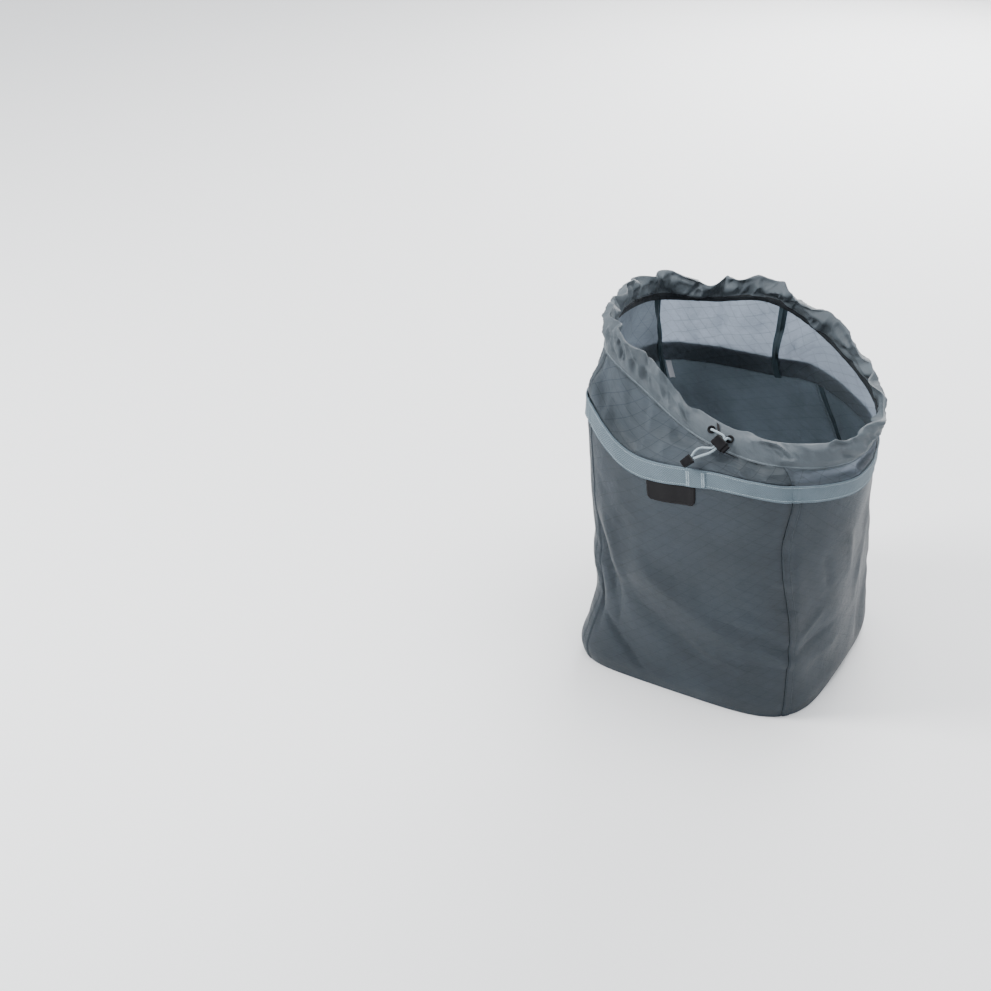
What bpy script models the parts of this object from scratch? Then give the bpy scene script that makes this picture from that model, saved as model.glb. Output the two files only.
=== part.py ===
"""Free-standing fabric laundry bag for travel, with a webbing rim and a drawcord collar.

The bag is one soft shell. Rings round the bag, from the base to the top of the collar, are
joined by smooth curves, and every fabric piece is a patch of that shell at its own depth.
u runs once round the bag from the front left corner, counter-clockwise seen from above, so
the body's corner seams are at u = 0, 0.25, 0.5 and 0.75. v runs from 0 at the base through 1
at the rim to 2 at the top of the collar. The front faces -Y and the right side faces +X.
"""

import math

import bmesh
import bpy
import numpy as np
from mathutils import Matrix, Vector

# Driving dimensions, in metres.
BASE_HALF_WIDTH = 0.167
BASE_HALF_DEPTH = 0.162
BASE_THICKNESS = 0.0016
BODY_THICKNESS = 0.0012
COLLAR_THICKNESS = 0.0008
TAPE_THICKNESS = 0.0006
TAPE_WIDTH = 0.012
WEBBING_WIDTH = 0.030
WEBBING_THICKNESS = 0.0015
CORD_DIAMETER = 0.003
CASING_HEIGHT = 0.039
COLLAR_OVERLAP = 0.0285
GAP = 0.0003
SEAM_GAP = 0.0006

# Depths of the layers, from the outer face of the body panels, positive outwards.
COLLAR_DEPTH = -(BODY_THICKNESS + GAP)
BODY_TAPE_DEPTH = -(BODY_THICKNESS + GAP)
COLLAR_TAPE_DEPTH = COLLAR_DEPTH - COLLAR_THICKNESS - GAP
CASING_MIDDLE = COLLAR_DEPTH - COLLAR_THICKNESS / 2

# Lengths along the fabric, round the bag, up its body and up its collar.
PERIMETER = 1.25
BODY_HEIGHT = 0.39
COLLAR_HEIGHT = 0.105

COLUMNS_A_SIDE = 14
BODY_ROW_COUNT = 5
COLLAR_ROW_COUNT = 4

# The rim and the top of the collar, in millimetres: twelve points each, from the front left
# corner, three to a side. The collar stands highest at the left and slumps at the front right.
RIM_POINTS = [
    (-161, -134, 398), (-86, -162, 354), (30, -170, 364),
    (126, -150, 362), (186, -62, 354), (150, 80, 350),
    (40, 164, 357), (-40, 158, 359), (-120, 142, 361),
    (-176, 108, 366), (-186, 20, 381), (-180, -64, 392),
]
COLLAR_TOP_POINTS = [
    (-142, -108, 498), (-84, -122, 466), (0, -127, 416),
    (88, -134, 410), (178, -68, 414), (160, 60, 414),
    (62, 128, 452), (-22, 134, 488), (-100, 132, 474),
    (-190, 118, 466), (-203, 44, 478), (-177, -38, 494),
]

COLOURS = {
    "body_ripstop": ((0.075, 0.100, 0.115), 0.62, 0.0),
    "base_ripstop": ((0.070, 0.090, 0.105), 0.65, 0.0),
    "collar_ripstop": ((0.200, 0.245, 0.270), 0.55, 0.0),
    "casing_fabric": ((0.135, 0.170, 0.190), 0.60, 0.0),
    "webbing": ((0.200, 0.270, 0.300), 0.70, 0.0),
    "binding_tape": ((0.035, 0.060, 0.072), 0.75, 0.0),
    "black_rubber": ((0.018, 0.017, 0.018), 0.55, 0.0),
    "label_satin": ((0.520, 0.520, 0.560), 0.45, 0.0),
    "cord": ((0.330, 0.410, 0.450), 0.70, 0.0),
    "black_plastic": ((0.016, 0.015, 0.017), 0.38, 0.0),
    "spring_steel": ((0.550, 0.550, 0.560), 0.30, 1.0),
    "black_tape": ((0.020, 0.019, 0.021), 0.70, 0.0),
}


# ---- the scene ----------------------------------------------------------------------------

def clear_scene():
    for old in list(bpy.data.objects):
        bpy.data.objects.remove(old, do_unlink=True)


def new_collection(name):
    collection = bpy.data.collections.new(name)
    bpy.context.scene.collection.children.link(collection)
    return collection


def make_materials():
    made = {}
    for name, (colour, roughness, metallic) in COLOURS.items():
        material = bpy.data.materials.new(name)
        material.use_nodes = True
        shader = material.node_tree.nodes["Principled BSDF"]
        shader.inputs["Base Color"].default_value = (*colour, 1)
        shader.inputs["Roughness"].default_value = roughness
        shader.inputs["Metallic"].default_value = metallic
        material.diffuse_color = (*colour, 1)
        made[name] = material
    return made


clear_scene()
PARTS = new_collection("laundry_bag")
CUTTERS = new_collection("cutters")
MATERIALS = make_materials()


def add_part(name, mesh, material, parent=None):
    part = bpy.data.objects.new(name, mesh)
    PARTS.objects.link(part)
    part.data.materials.append(MATERIALS[material])
    part.parent = parent
    return part


# ---- the shell ----------------------------------------------------------------------------

def closed_curve(points, u):
    """A smooth closed curve through evenly numbered points, read at u from 0 to 1."""
    points = np.asarray(points, float)
    count = len(points)
    place = (np.asarray(u, float) % 1) * count
    index = np.floor(place).astype(int)
    t = (place - index)[:, None]
    a, b, c, d = (points[(index + k) % count] for k in (-1, 0, 1, 2))
    return 0.5 * (2 * b + (c - a) * t + (2 * a - 5 * b + 4 * c - d) * t**2
                  + (3 * b - a - 3 * c + d) * t**3)


def rounded_square(half_width, half_depth, squareness, u):
    """A superellipse with its corners at u = 0, 0.25, 0.5 and 0.75, spaced by arc length."""
    angle = np.linspace(0, 2 * math.pi, 1441) - 0.75 * math.pi
    cosine, sine = np.cos(angle), np.sin(angle)
    x = half_width * np.sign(cosine) * np.abs(cosine) ** (2 / squareness)
    y = half_depth * np.sign(sine) * np.abs(sine) ** (2 / squareness)
    along = np.concatenate([[0], np.cumsum(np.hypot(np.diff(x), np.diff(y)))])
    at = (np.asarray(u, float) % 1) * along[-1]
    return np.stack([np.interp(at, along, x), np.interp(at, along, y)], axis=1)


def level(spread, squareness, height, u):
    """A level ring so much wider all round than the base."""
    ring = rounded_square(BASE_HALF_WIDTH + spread, BASE_HALF_DEPTH + spread, squareness, u)
    return np.column_stack([ring, np.full(len(ring), height)])


def rings(u):
    """The bag's rings as (v, points) from the base to the top of the collar."""
    rim = closed_curve(RIM_POINTS, u) / 1000
    top = closed_curve(COLLAR_TOP_POINTS, u) / 1000
    chest = 0.42 * level(0.007, 3.8, CHEST_HEIGHT, u) + 0.58 * rim
    chest[:, 2] = CHEST_HEIGHT * rim[:, 2] / RIM_MEAN_HEIGHT
    return [
        (0.0, level(0.0, 4.3, 0.0, u)),
        (0.08, level(0.003, 4.3, 0.030, u)),
        (0.44, level(0.004, 3.8, 0.16, u)),
        (0.74, chest),
        (1.0, rim),
        (1.5, 0.5 * (rim + top)),
        (2.0, top),
    ]


CHEST_HEIGHT = 0.27
RIM_MEAN_HEIGHT = closed_curve(RIM_POINTS, np.arange(48) / 48)[:, 2].mean() / 1000


def steady_slopes(knots, values):
    """Slopes at the rings that let a curve through them rise and fall only where they do."""
    secants = np.diff(values, axis=0) / np.diff(knots)[:, None, None]
    before, after = secants[:-1], secants[1:]
    same = before * after > 0
    total = np.where(same, before + after, 1)
    inner = np.where(same, 2 * before * after / total, 0)
    return np.concatenate([secants[:1], inner, secants[-1:]])


def up_the_cloth(v):
    """The length of cloth from the base up to v."""
    return np.where(v <= 1, v * BODY_HEIGHT, BODY_HEIGHT + (v - 1) * COLLAR_HEIGHT)


def shell(u, v):
    """Points of the shell's outer face at matching u and v."""
    u, v = np.broadcast_arrays(np.asarray(u, float), np.asarray(v, float))
    shape, u, v = u.shape, u.ravel(), v.ravel()
    at_v, values = zip(*rings(u))
    knots, values, place = up_the_cloth(np.array(at_v)), np.array(values), up_the_cloth(v)
    slopes = steady_slopes(knots, values)
    low = np.clip(np.searchsorted(knots, place, side="right") - 1, 0, len(knots) - 2)
    high, each = low + 1, np.arange(len(u))
    step = (knots[high] - knots[low])[:, None]
    t = (place - knots[low])[:, None] / step
    points = ((2 * t**3 - 3 * t**2 + 1) * values[low, each]
              + (t**3 - 2 * t**2 + t) * step * slopes[low, each]
              + (3 * t**2 - 2 * t**3) * values[high, each]
              + (t**3 - t**2) * step * slopes[high, each])
    return points.reshape(*shape, 3)


def shell_points(u, v, depth):
    """Points at matching u, v and depth: depth metres outwards from the shell."""
    small = 1e-4
    across = shell(u + small, v) - shell(u - small, v)
    up = shell(u, np.minimum(v + small, 2)) - shell(u, np.maximum(v - small, 0))
    normal = np.cross(across, up)
    normal /= np.linalg.norm(normal, axis=-1, keepdims=True)
    return shell(u, v) + np.asarray(depth)[..., None] * normal


def collar_v(u, down):
    """The v that lies so many metres down from the collar's top, at each u."""
    length = np.linalg.norm(closed_curve(COLLAR_TOP_POINTS, u) - closed_curve(RIM_POINTS, u), axis=1)
    return 2 - down * 1000 / length


def rim_v(down):
    """The v that lies so many metres of cloth below the rim."""
    return 1 - down / BODY_HEIGHT


# ---- fabric pieces ------------------------------------------------------------------------

SIDES = ["front", "right", "back", "left"]
CORNERS = ["front_left", "front_right", "back_right", "back_left"]
# Where the collar's own four seams are. The back right one lies well along the back.
COLLAR_SEAMS = [0.0, 0.25, 0.565, 0.75]
INSET = SEAM_GAP / 2 / PERIMETER
TAPE_REACH = TAPE_WIDTH / 2 / PERIMETER


def side_columns(side):
    """A side panel's columns. They stop just short of its corner seams, and two of them lie
    where the edges of the seam tapes do, so that the layers bend at the same lines."""
    inner = np.linspace(TAPE_REACH, 0.25 - TAPE_REACH, COLUMNS_A_SIDE - 1)
    return side / 4 + np.concatenate([[INSET], inner, [0.25 - INSET]])


def tape_columns(seam):
    return seam + np.array([-TAPE_REACH, -INSET, INSET, TAPE_REACH])


ROUND_COLUMNS = np.concatenate([side_columns(side) for side in range(4)])


def collar_columns(side):
    """A collar panel's columns: the body panels' between its seams, and its own at them."""
    start, end = COLLAR_SEAMS[side], (COLLAR_SEAMS + [1.0])[side + 1]
    between = ROUND_COLUMNS[(ROUND_COLUMNS > start + 1.2 * TAPE_REACH)
                            & (ROUND_COLUMNS < end - 1.2 * TAPE_REACH)]
    return np.concatenate([[start + INSET, start + TAPE_REACH], between, [end - TAPE_REACH, end - INSET]])


BODY_ROWS = rim_v(np.concatenate([
    [BODY_HEIGHT - GAP, BODY_HEIGHT - 0.010, BODY_HEIGHT - 0.030],
    np.linspace(0.30, 0.07, BODY_ROW_COUNT),
    [WEBBING_WIDTH], COLLAR_OVERLAP * np.array([1, 2 / 3, 1 / 3, 0]),
]))


def collar_rows(u, *downs):
    """Rows from the collar's lower edge, inside the rim, up to just under the casing, and then
    at so many metres from the collar's top."""
    high = collar_v(u, CASING_HEIGHT + 0.001)
    above = 1 + np.linspace(0, 1, COLLAR_ROW_COUNT)[:, None] * (high - 1)
    rest = [collar_v(u, down)[None] for down in downs]
    under = np.broadcast_to(BODY_ROWS[-4:-1, None], (3, len(u)))
    return np.vstack([under, above, *rest])


def sheet_mesh(name, outer, inner, closed=False):
    """A solid sheet between two grids of points, closed round the bag or with free sides. Both
    faces are split along the same diagonals, so that neighbouring layers keep their distance."""
    rows, columns = outer.shape[:2]
    bm = bmesh.new()
    front, back = [[[bm.verts.new(p) for p in row] for row in grid] for grid in (outer, inner)]
    spans = columns if closed else columns - 1
    faces = []
    for i in range(spans):
        j = (i + 1) % columns
        for r in range(rows - 1):
            a, b, c, d = front[r][i], front[r][j], front[r + 1][j], front[r + 1][i]
            faces += [(a, b, c), (a, c, d)]
            a, b, c, d = back[r][i], back[r][j], back[r + 1][j], back[r + 1][i]
            faces += [(a, c, b), (a, d, c)]
        faces.append((front[0][j], front[0][i], back[0][i], back[0][j]))
        faces.append((front[-1][i], front[-1][j], back[-1][j], back[-1][i]))
    if not closed:
        for r in range(rows - 1):
            faces.append((front[r][0], front[r + 1][0], back[r + 1][0], back[r][0]))
            faces.append((front[r + 1][-1], front[r][-1], back[r][-1], back[r + 1][-1]))
    for face in faces:
        bm.faces.new(face)
    mesh = bpy.data.meshes.new(name)
    bm.to_mesh(mesh)
    bm.free()
    mesh.shade_smooth()
    mesh.set_sharp_from_angle(angle=math.radians(40))
    return mesh


def add_sheet(name, u, v, depth, thickness, material, closed=False):
    """A fabric piece over the shell's u and v. Its outer face lies at depth."""
    outer = shell_points(u, v, depth)
    inner = shell_points(u, v, depth - thickness)
    return add_part(name, sheet_mesh(name, outer, inner, closed), material)


def add_body_panels():
    for side, name in enumerate(SIDES):
        add_sheet(f"body_{name}_panel", side_columns(side), BODY_ROWS[:, None], 0.0,
                  BODY_THICKNESS, "body_ripstop")


def flat_ring(inset, height):
    ring = shell_points(ROUND_COLUMNS, 0.0, -inset)
    ring[:, 2] = height
    return ring


def add_plate(name, outline, middle, thickness, material, parent=None):
    """A flat plate: an outline in X and Y, filled and extruded to either side of its middle."""
    curve = bpy.data.curves.new(name, "CURVE")
    curve.dimensions = "2D"
    curve.fill_mode = "BOTH"
    curve.extrude = thickness / 2
    spline = curve.splines.new("POLY")
    spline.points.add(len(outline) - 1)
    for target, (x, y) in zip(spline.points, outline):
        target.co = (x, y, 0, 1)
    spline.use_cyclic_u = True
    plate = add_part(name, curve, material, parent)
    plate.location.z = middle
    weld = plate.modifiers.new("joined caps", "WELD")
    weld.merge_threshold = 0.00001
    return plate


def add_base_panel():
    outline = flat_ring(BODY_THICKNESS + GAP, 0.0)[:, :2]
    add_plate("base_panel", outline, BASE_THICKNESS / 2, BASE_THICKNESS, "base_ripstop")


def add_base_binding():
    """The tape that binds the seam between the base and the four body panels, inside."""
    edge = BODY_THICKNESS + 2 * GAP
    low = BASE_THICKNESS + GAP
    upper, lower = (np.array([flat_ring(edge + inset, height) for inset in (0.0, TAPE_WIDTH)])
                    for height in (low + TAPE_THICKNESS, low))
    add_part("base_binding", sheet_mesh("base_binding", upper, lower, closed=True), "binding_tape")


def add_collar_panels():
    for side, name in enumerate(SIDES):
        u = collar_columns(side)
        rows = collar_rows(u, CASING_HEIGHT, CASING_HEIGHT - 0.0027)
        add_sheet(f"collar_{name}_panel", u, rows, COLLAR_DEPTH, COLLAR_THICKNESS, "collar_ripstop")


def add_webbing():
    add_sheet("rim_webbing", ROUND_COLUMNS, BODY_ROWS[-5:, None], GAP + WEBBING_THICKNESS,
              WEBBING_THICKNESS, "webbing", closed=True)


def add_seam_tapes():
    """Binding tapes inside the four corner seams, of the body and of the collar."""
    rows = BODY_ROWS[1:-4, None]
    for corner, name in enumerate(CORNERS):
        add_sheet(f"body_tape_{name}", tape_columns(corner / 4), rows, BODY_TAPE_DEPTH,
                  TAPE_THICKNESS, "binding_tape")
        u = tape_columns(COLLAR_SEAMS[corner])
        add_sheet(f"collar_tape_{name}", u, collar_rows(u), COLLAR_TAPE_DEPTH, TAPE_THICKNESS,
                  "binding_tape")


# The casing's section: how far down from its top, and how far out from the collar's middle.
CASING_BULGE = 0.0047
CASING_SECTION = [
    (0.0390, 0.0011), (0.0362, 0.0011), (0.0300, 0.0030), (0.0200, CASING_BULGE), (0.0100, 0.0043),
    (0.0030, 0.0025), (0.0, 0.0), (0.0030, -0.0025), (0.0100, -0.0043), (0.0200, -CASING_BULGE),
    (0.0300, -0.0030), (0.0362, -0.0011), (0.0390, -0.0011),
]
CASING_THICKNESS = 0.0008


def casing_points(u, down, out):
    u = np.atleast_1d(u)
    return shell_points(u, collar_v(u, down), CASING_MIDDLE + out)


def casing_skin(u, lift):
    """The casing's section as a grid of points, moved outwards from its own middle by lift."""
    section = np.array(CASING_SECTION)
    along = np.gradient(section, axis=0)
    normal = np.column_stack([-along[:, 1], along[:, 0]])
    normal /= np.linalg.norm(normal, axis=1)[:, None]
    moved = section - lift * normal
    return np.array([casing_points(u, down, out) for down, out in moved])


def add_casing():
    """The folded hem at the collar's top, an upturned channel that the draw cord runs in."""
    half = CASING_THICKNESS / 2
    mesh = sheet_mesh("drawcord_casing", casing_skin(ROUND_COLUMNS, half),
                      casing_skin(ROUND_COLUMNS, -half), closed=True)
    return add_part("drawcord_casing", mesh, "casing_fabric")


PATCH_U = 0.124
PATCH_WIDTH = 0.060
PATCH_HEIGHT = 0.028
PATCH_RADIUS = 0.006
PATCH_THICKNESS = 0.0014
LABEL_U = 0.737
LABEL_WIDTH = 0.014
LABEL_LENGTH = 0.027
LABEL_THICKNESS = 0.0005


def add_patch():
    """A blank rubber patch on the front, whose top edge is under the webbing's lower edge."""
    across, up = np.linspace(-1, 1, 11), np.linspace(0, 1, 6)
    top = WEBBING_WIDTH + GAP
    past_straight = np.abs(across) * PATCH_WIDTH / 2 - PATCH_WIDTH / 2 + PATCH_RADIUS
    turn = np.clip(past_straight / PATCH_RADIUS, 0, 1)
    bottom = top + PATCH_HEIGHT - PATCH_RADIUS * (1 - np.sqrt(1 - turn**2))
    rows = rim_v(bottom + up[:, None] * (top - bottom))
    add_sheet("front_patch", PATCH_U + across * PATCH_WIDTH / 2 / PERIMETER, rows,
              GAP + PATCH_THICKNESS, PATCH_THICKNESS, "black_rubber")


def add_care_label():
    """A small blank label, sewn in beside the back left seam and hanging inside the bag."""
    u = LABEL_U + np.linspace(-0.5, 0.5, 3) * LABEL_WIDTH / PERIMETER
    top = COLLAR_OVERLAP + 0.001
    rows = rim_v(np.linspace(top + LABEL_LENGTH, top, 4))[:, None]
    add_sheet("care_label", u, rows, BODY_TAPE_DEPTH - 0.0010, LABEL_THICKNESS, "label_satin")


# ---- cord, eyelets and cord lock ----------------------------------------------------------

EYELET_U = (0.1700, 0.1945)
EYELET_DOWN = 0.018
LOCK_U = 0.1800
LOCK_DOWN = 0.032

LOCK_LENGTH = 0.018
LOCK_WIDTH = 0.014
LOCK_HEIGHT = 0.0085
LOCK_WALL = 0.0013
BUTTON_TRAVEL = 0.003
CORD_SPACING = 0.0038


def frame_at(u, down, out, above=0.002, below=0.002):
    """A matrix at a point of the casing: X along the casing, Y up it, Z straight out."""
    origin = casing_points(u, down, out)[0]
    along = casing_points(u + 0.002, down, out)[0] - casing_points(u - 0.002, down, out)[0]
    up = casing_points(u, down - above, out)[0] - casing_points(u, down + below, out)[0]
    x = Vector(along).normalized()
    z = x.cross(Vector(up)).normalized()
    y = z.cross(x)
    matrix = Matrix((x, y, z)).transposed().to_4x4()
    matrix.translation = Vector(origin)
    return matrix


def add_empty(name, matrix):
    empty = bpy.data.objects.new(name, None)
    PARTS.objects.link(empty)
    empty.matrix_world = matrix
    return empty


def add_turned(name, profile, material, parent, steps=20):
    """A ring turned round Z from a closed profile of (radius, height) points."""
    mesh = bpy.data.meshes.new(name)
    count = len(profile)
    mesh.from_pydata([(r, 0, z) for r, z in profile], [(i, (i + 1) % count) for i in range(count)], [])
    ring = add_part(name, mesh, material, parent)
    screw = ring.modifiers.new("turned", "SCREW")
    screw.steps = screw.render_steps = steps
    screw.use_merge_vertices = True
    screw.merge_threshold = 0.00001
    screw.use_smooth_shade = True
    return ring


def box_mesh(name, size, centre=(0, 0, 0)):
    bm = bmesh.new()
    bmesh.ops.create_cube(bm, size=1, matrix=Matrix.Translation(centre) @ Matrix.Diagonal((*size, 1)))
    mesh = bpy.data.meshes.new(name)
    bm.to_mesh(mesh)
    bm.free()
    return mesh


def add_cutter(name, mesh, parent=None):
    cutter = bpy.data.objects.new(name, mesh)
    CUTTERS.objects.link(cutter)
    cutter.parent = parent
    cutter.hide_render = True
    cutter.display_type = "WIRE"
    return cutter


def cut(part, cutter):
    boolean = part.modifiers.new("cut", "BOOLEAN")
    boolean.object = cutter
    boolean.operation = "DIFFERENCE"


def round_edges(part, width, segments=2):
    bevel = part.modifiers.new("rounded edges", "BEVEL")
    bevel.width = width
    bevel.segments = segments
    bevel.limit_method = "ANGLE"


def add_eyelets(casing):
    """Two eyelets through the casing's outer wall, each a flanged ring."""
    hole, barrel, flange = 0.0026, 0.0032, 0.0052
    wall = CASING_THICKNESS / 2
    top, foot = 0.0012, -2 * wall - 0.0006
    profile = [(hole, top), (flange - 0.0006, top), (flange, top / 2), (flange, GAP),
               (barrel, GAP), (barrel, foot), (hole, foot)]
    for name, u in zip(("eyelet_left", "eyelet_right"), EYELET_U):
        matrix = frame_at(u, EYELET_DOWN, CASING_BULGE + wall + GAP)
        empty = add_empty(f"{name}_frame", matrix)
        add_turned(name, profile, "black_plastic", empty)
        bm = bmesh.new()
        bmesh.ops.create_cone(bm, cap_ends=True, segments=20, radius1=barrel + 2 * GAP,
                              radius2=barrel + 2 * GAP, depth=0.005)
        mesh = bpy.data.meshes.new(f"{name}_hole")
        bm.to_mesh(mesh)
        bm.free()
        cut(casing, add_cutter(f"{name}_hole", mesh, empty))


def lock_frame():
    out = CASING_BULGE + 0.0030 + LOCK_HEIGHT / 2
    matrix = frame_at(LOCK_U, LOCK_DOWN, out, above=0.020, below=0.026)
    return matrix @ Matrix.Rotation(math.radians(-18), 4, "Z")


def add_cord_lock():
    """A push-button cord lock. Its button slides along the lock's X, across the two cords."""
    empty = add_empty("cord_lock_frame", lock_frame())
    body = add_part("cord_lock_body",
                    box_mesh("cord_lock_body", (LOCK_LENGTH, LOCK_WIDTH, LOCK_HEIGHT)),
                    "black_plastic", empty)
    round_edges(body, 0.0014)
    inner = (LOCK_LENGTH, LOCK_WIDTH - 2 * LOCK_WALL, LOCK_HEIGHT - 2 * LOCK_WALL)
    bore = add_cutter("lock_bore", box_mesh("lock_bore", inner, (LOCK_WALL, 0, 0)), empty)
    cut(body, bore)
    slot = (2 * CORD_SPACING + 0.0006, 0.05, CORD_DIAMETER + 0.0006)
    cut(body, add_cutter("lock_cord_slot", box_mesh("lock_cord_slot", slot), empty))

    slack = 0.0004
    stem_start = -LOCK_LENGTH / 2 + LOCK_WALL + 0.0045
    stem_end = LOCK_LENGTH / 2 + 0.0040
    stem = box_mesh("cord_lock_button",
                    (stem_end - stem_start, inner[1] - 2 * slack, inner[2] - 2 * slack),
                    ((stem_end + stem_start) / 2, 0, 0))
    button = add_part("cord_lock_button", stem, "black_plastic", empty)
    round_edges(button, 0.0007)
    window = (2 * CORD_SPACING + 2 * BUTTON_TRAVEL + 0.0010, 0.05, CORD_DIAMETER + 0.0006)
    shift = (window[0] - slot[0]) / 2 - 0.0002
    cut(button, add_cutter("button_cord_slot",
                           box_mesh("button_cord_slot", window, (shift - 0.0008, 0, 0)), empty))

    add_spring(empty, -LOCK_LENGTH / 2 + LOCK_WALL + GAP, stem_start - GAP)
    return empty


def add_tube(name, points, diameter, material, parent=None):
    """A round cord or wire along points, with a flat cap at each end."""
    curve = bpy.data.curves.new(name, "CURVE")
    curve.dimensions = "3D"
    curve.bevel_depth = diameter / 2
    curve.bevel_resolution = 2
    curve.use_fill_caps = True
    spline = curve.splines.new("POLY")
    spline.points.add(len(points) - 1)
    for target, point in zip(spline.points, points):
        target.co = (*point, 1)
    return add_part(name, curve, material, parent)


def add_spring(parent, start, end):
    """The coil spring behind the button, with a little room at each end."""
    wire, radius, turns, each = 0.0005, 0.0021, 3.5, 9
    count = int(turns * each) + 1
    points = []
    for i in range(count):
        share = i / (count - 1)
        angle = 2 * math.pi * turns * share
        x = start + wire / 2 + share * (end - start - wire)
        points.append((x, radius * math.cos(angle), radius * math.sin(angle)))
    add_tube("cord_lock_spring", points, wire, "spring_steel", parent)


def open_curve(points, count):
    """Points spaced evenly along a smooth open curve through the given points."""
    points = np.asarray(points, float)
    padded = np.vstack([2 * points[0] - points[1], points, 2 * points[-1] - points[-2]])
    fine = []
    for a, b, c, d in zip(padded, padded[1:], padded[2:], padded[3:]):
        t = np.linspace(0, 1, 40, endpoint=False)[:, None]
        fine.append(0.5 * (2 * b + (c - a) * t + (2 * a - 5 * b + 4 * c - d) * t**2
                           + (3 * b - a - 3 * c + d) * t**3))
    fine = np.vstack(fine + [points[-1:]])
    along = np.concatenate([[0], np.cumsum(np.linalg.norm(np.diff(fine, axis=0), axis=1))])
    at = np.linspace(0, along[-1], count)
    return np.stack([np.interp(at, along, fine[:, k]) for k in range(3)], axis=1)


def lock_points(local_points):
    matrix = lock_frame()
    return [matrix @ Vector(p) for p in local_points]


def add_draw_cord():
    """The draw cord: round the whole casing, out of the two eyelets and into the cord lock."""
    left, right = EYELET_U
    around = np.linspace(right + 0.020, left + 1 - 0.020, 56)
    ring = list(casing_points(around, EYELET_DOWN, 0.0))
    reach = LOCK_WIDTH / 2
    wall = CASING_THICKNESS / 2
    ends = {}
    for u, side in ((left, -1), (right, 1)):
        out = frame_at(u, EYELET_DOWN, CASING_BULGE + wall)
        through = [out @ Vector((-side * 0.0006 * z, 0, z * 0.001)) for z in (-3.6, -1.2, 1.2, 3.6)]
        into = lock_points([(side * CORD_SPACING / 2, y, 0) for y in (reach + 0.0030, 0.0004)])
        ends[u] = open_curve([*through, *into], 10)
    route = [*reversed(ends[right]), *ring, *ends[left]]
    add_tube("draw_cord", route, CORD_DIAMETER, "cord")


def tail_routes():
    """The two cord tails, from the lock to the cord end, as points in the lock's frame."""
    start = -0.0004
    left = [(-CORD_SPACING / 2, start, 0), (-CORD_SPACING / 2, -LOCK_WIDTH / 2 - 0.003, 0),
            (-0.0115, -0.020, 0.0004), (-0.0140, -0.028, 0.0), (-0.0125, -0.036, -0.0010)]
    right = [(CORD_SPACING / 2, start, 0), (CORD_SPACING / 2, -LOCK_WIDTH / 2 - 0.003, 0),
             (0.0005, -0.018, 0.0010), (-0.0040, -0.027, 0.0008), (-0.0085, -0.036, -0.0010)]
    return left, right


def add_tails_and_end():
    left, right = tail_routes()
    for name, route in (("cord_tail_left", left), ("cord_tail_right", right)):
        points = open_curve([list(p) for p in lock_points(route)], 18)
        add_tube(name, points, CORD_DIAMETER, "cord")
    tip = Vector(((left[-1][0] + right[-1][0]) / 2, left[-1][1], left[-1][2]))
    matrix = lock_frame() @ Matrix.Translation(tip) @ Matrix.Rotation(math.radians(-8), 4, "Z")
    empty = add_empty("cord_end_frame", matrix)
    outline = [(-0.0062, -0.0011), (-0.0050, -0.0160), (0.0050, -0.0160), (0.0062, -0.0011)]
    end = add_plate("cord_end", outline, 0.0, 0.0056, "black_plastic", empty)
    round_edges(end, 0.0012)


def add_tether():
    """The flat tape that ties the lock to the casing, from the lock's top up to the hem's top."""
    half_width, half_thickness = 0.0026, 0.0004
    start = lock_frame() @ Vector((0.001, LOCK_WIDTH / 2 + GAP, -LOCK_HEIGHT / 2 - 0.0008))
    low = frame_at(LOCK_U + 0.001, EYELET_DOWN, CASING_BULGE + 0.0016).translation
    high = frame_at(LOCK_U + 0.001, 0.004, 0.0030 + 0.0022).translation
    across = (lock_frame().to_3x3() @ Vector((1, 0, 0))) * half_width
    route = [Vector(p) for p in open_curve([list(start), list(low), list(high)], 6)]
    outer, inner = [], []
    for i, point in enumerate(route):
        ahead = route[min(i + 1, len(route) - 1)] - route[max(i - 1, 0)]
        out = across.cross(ahead).normalized() * half_thickness
        outer.append([point + out + side * across for side in (-1, 0, 1)])
        inner.append([point - out + side * across for side in (-1, 0, 1)])
    add_part("lock_tether", sheet_mesh("lock_tether", np.array(outer), np.array(inner)), "black_tape")


add_base_panel()
add_body_panels()
add_collar_panels()
add_webbing()
add_seam_tapes()
add_base_binding()
add_patch()
add_care_label()
add_eyelets(add_casing())
add_cord_lock()
add_draw_cord()
add_tails_and_end()
add_tether()
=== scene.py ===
"""The looks of the laundry bag: draped fabric, stitching, cords and materials around the frame.

The bag is one soft shell. u runs once round it from the front left corner, counter-clockwise
seen from above. The body's corner seams are at u = 0, 0.25, 0.5 and 0.75, and so are the
collar's, but for its back right one. w runs from 0 at the base through 1 at the rim to 2 at the
seam under the drawcord casing. A cloth simulation slackens the shell, folds and puckers are laid
over it, and each fabric piece is a patch of the result at its own depth. Lengths are in metres,
but for the two lists of points in millimetres.
"""

import math

import bmesh
import bpy
import numpy as np
from mathutils import Matrix, Vector


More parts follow.
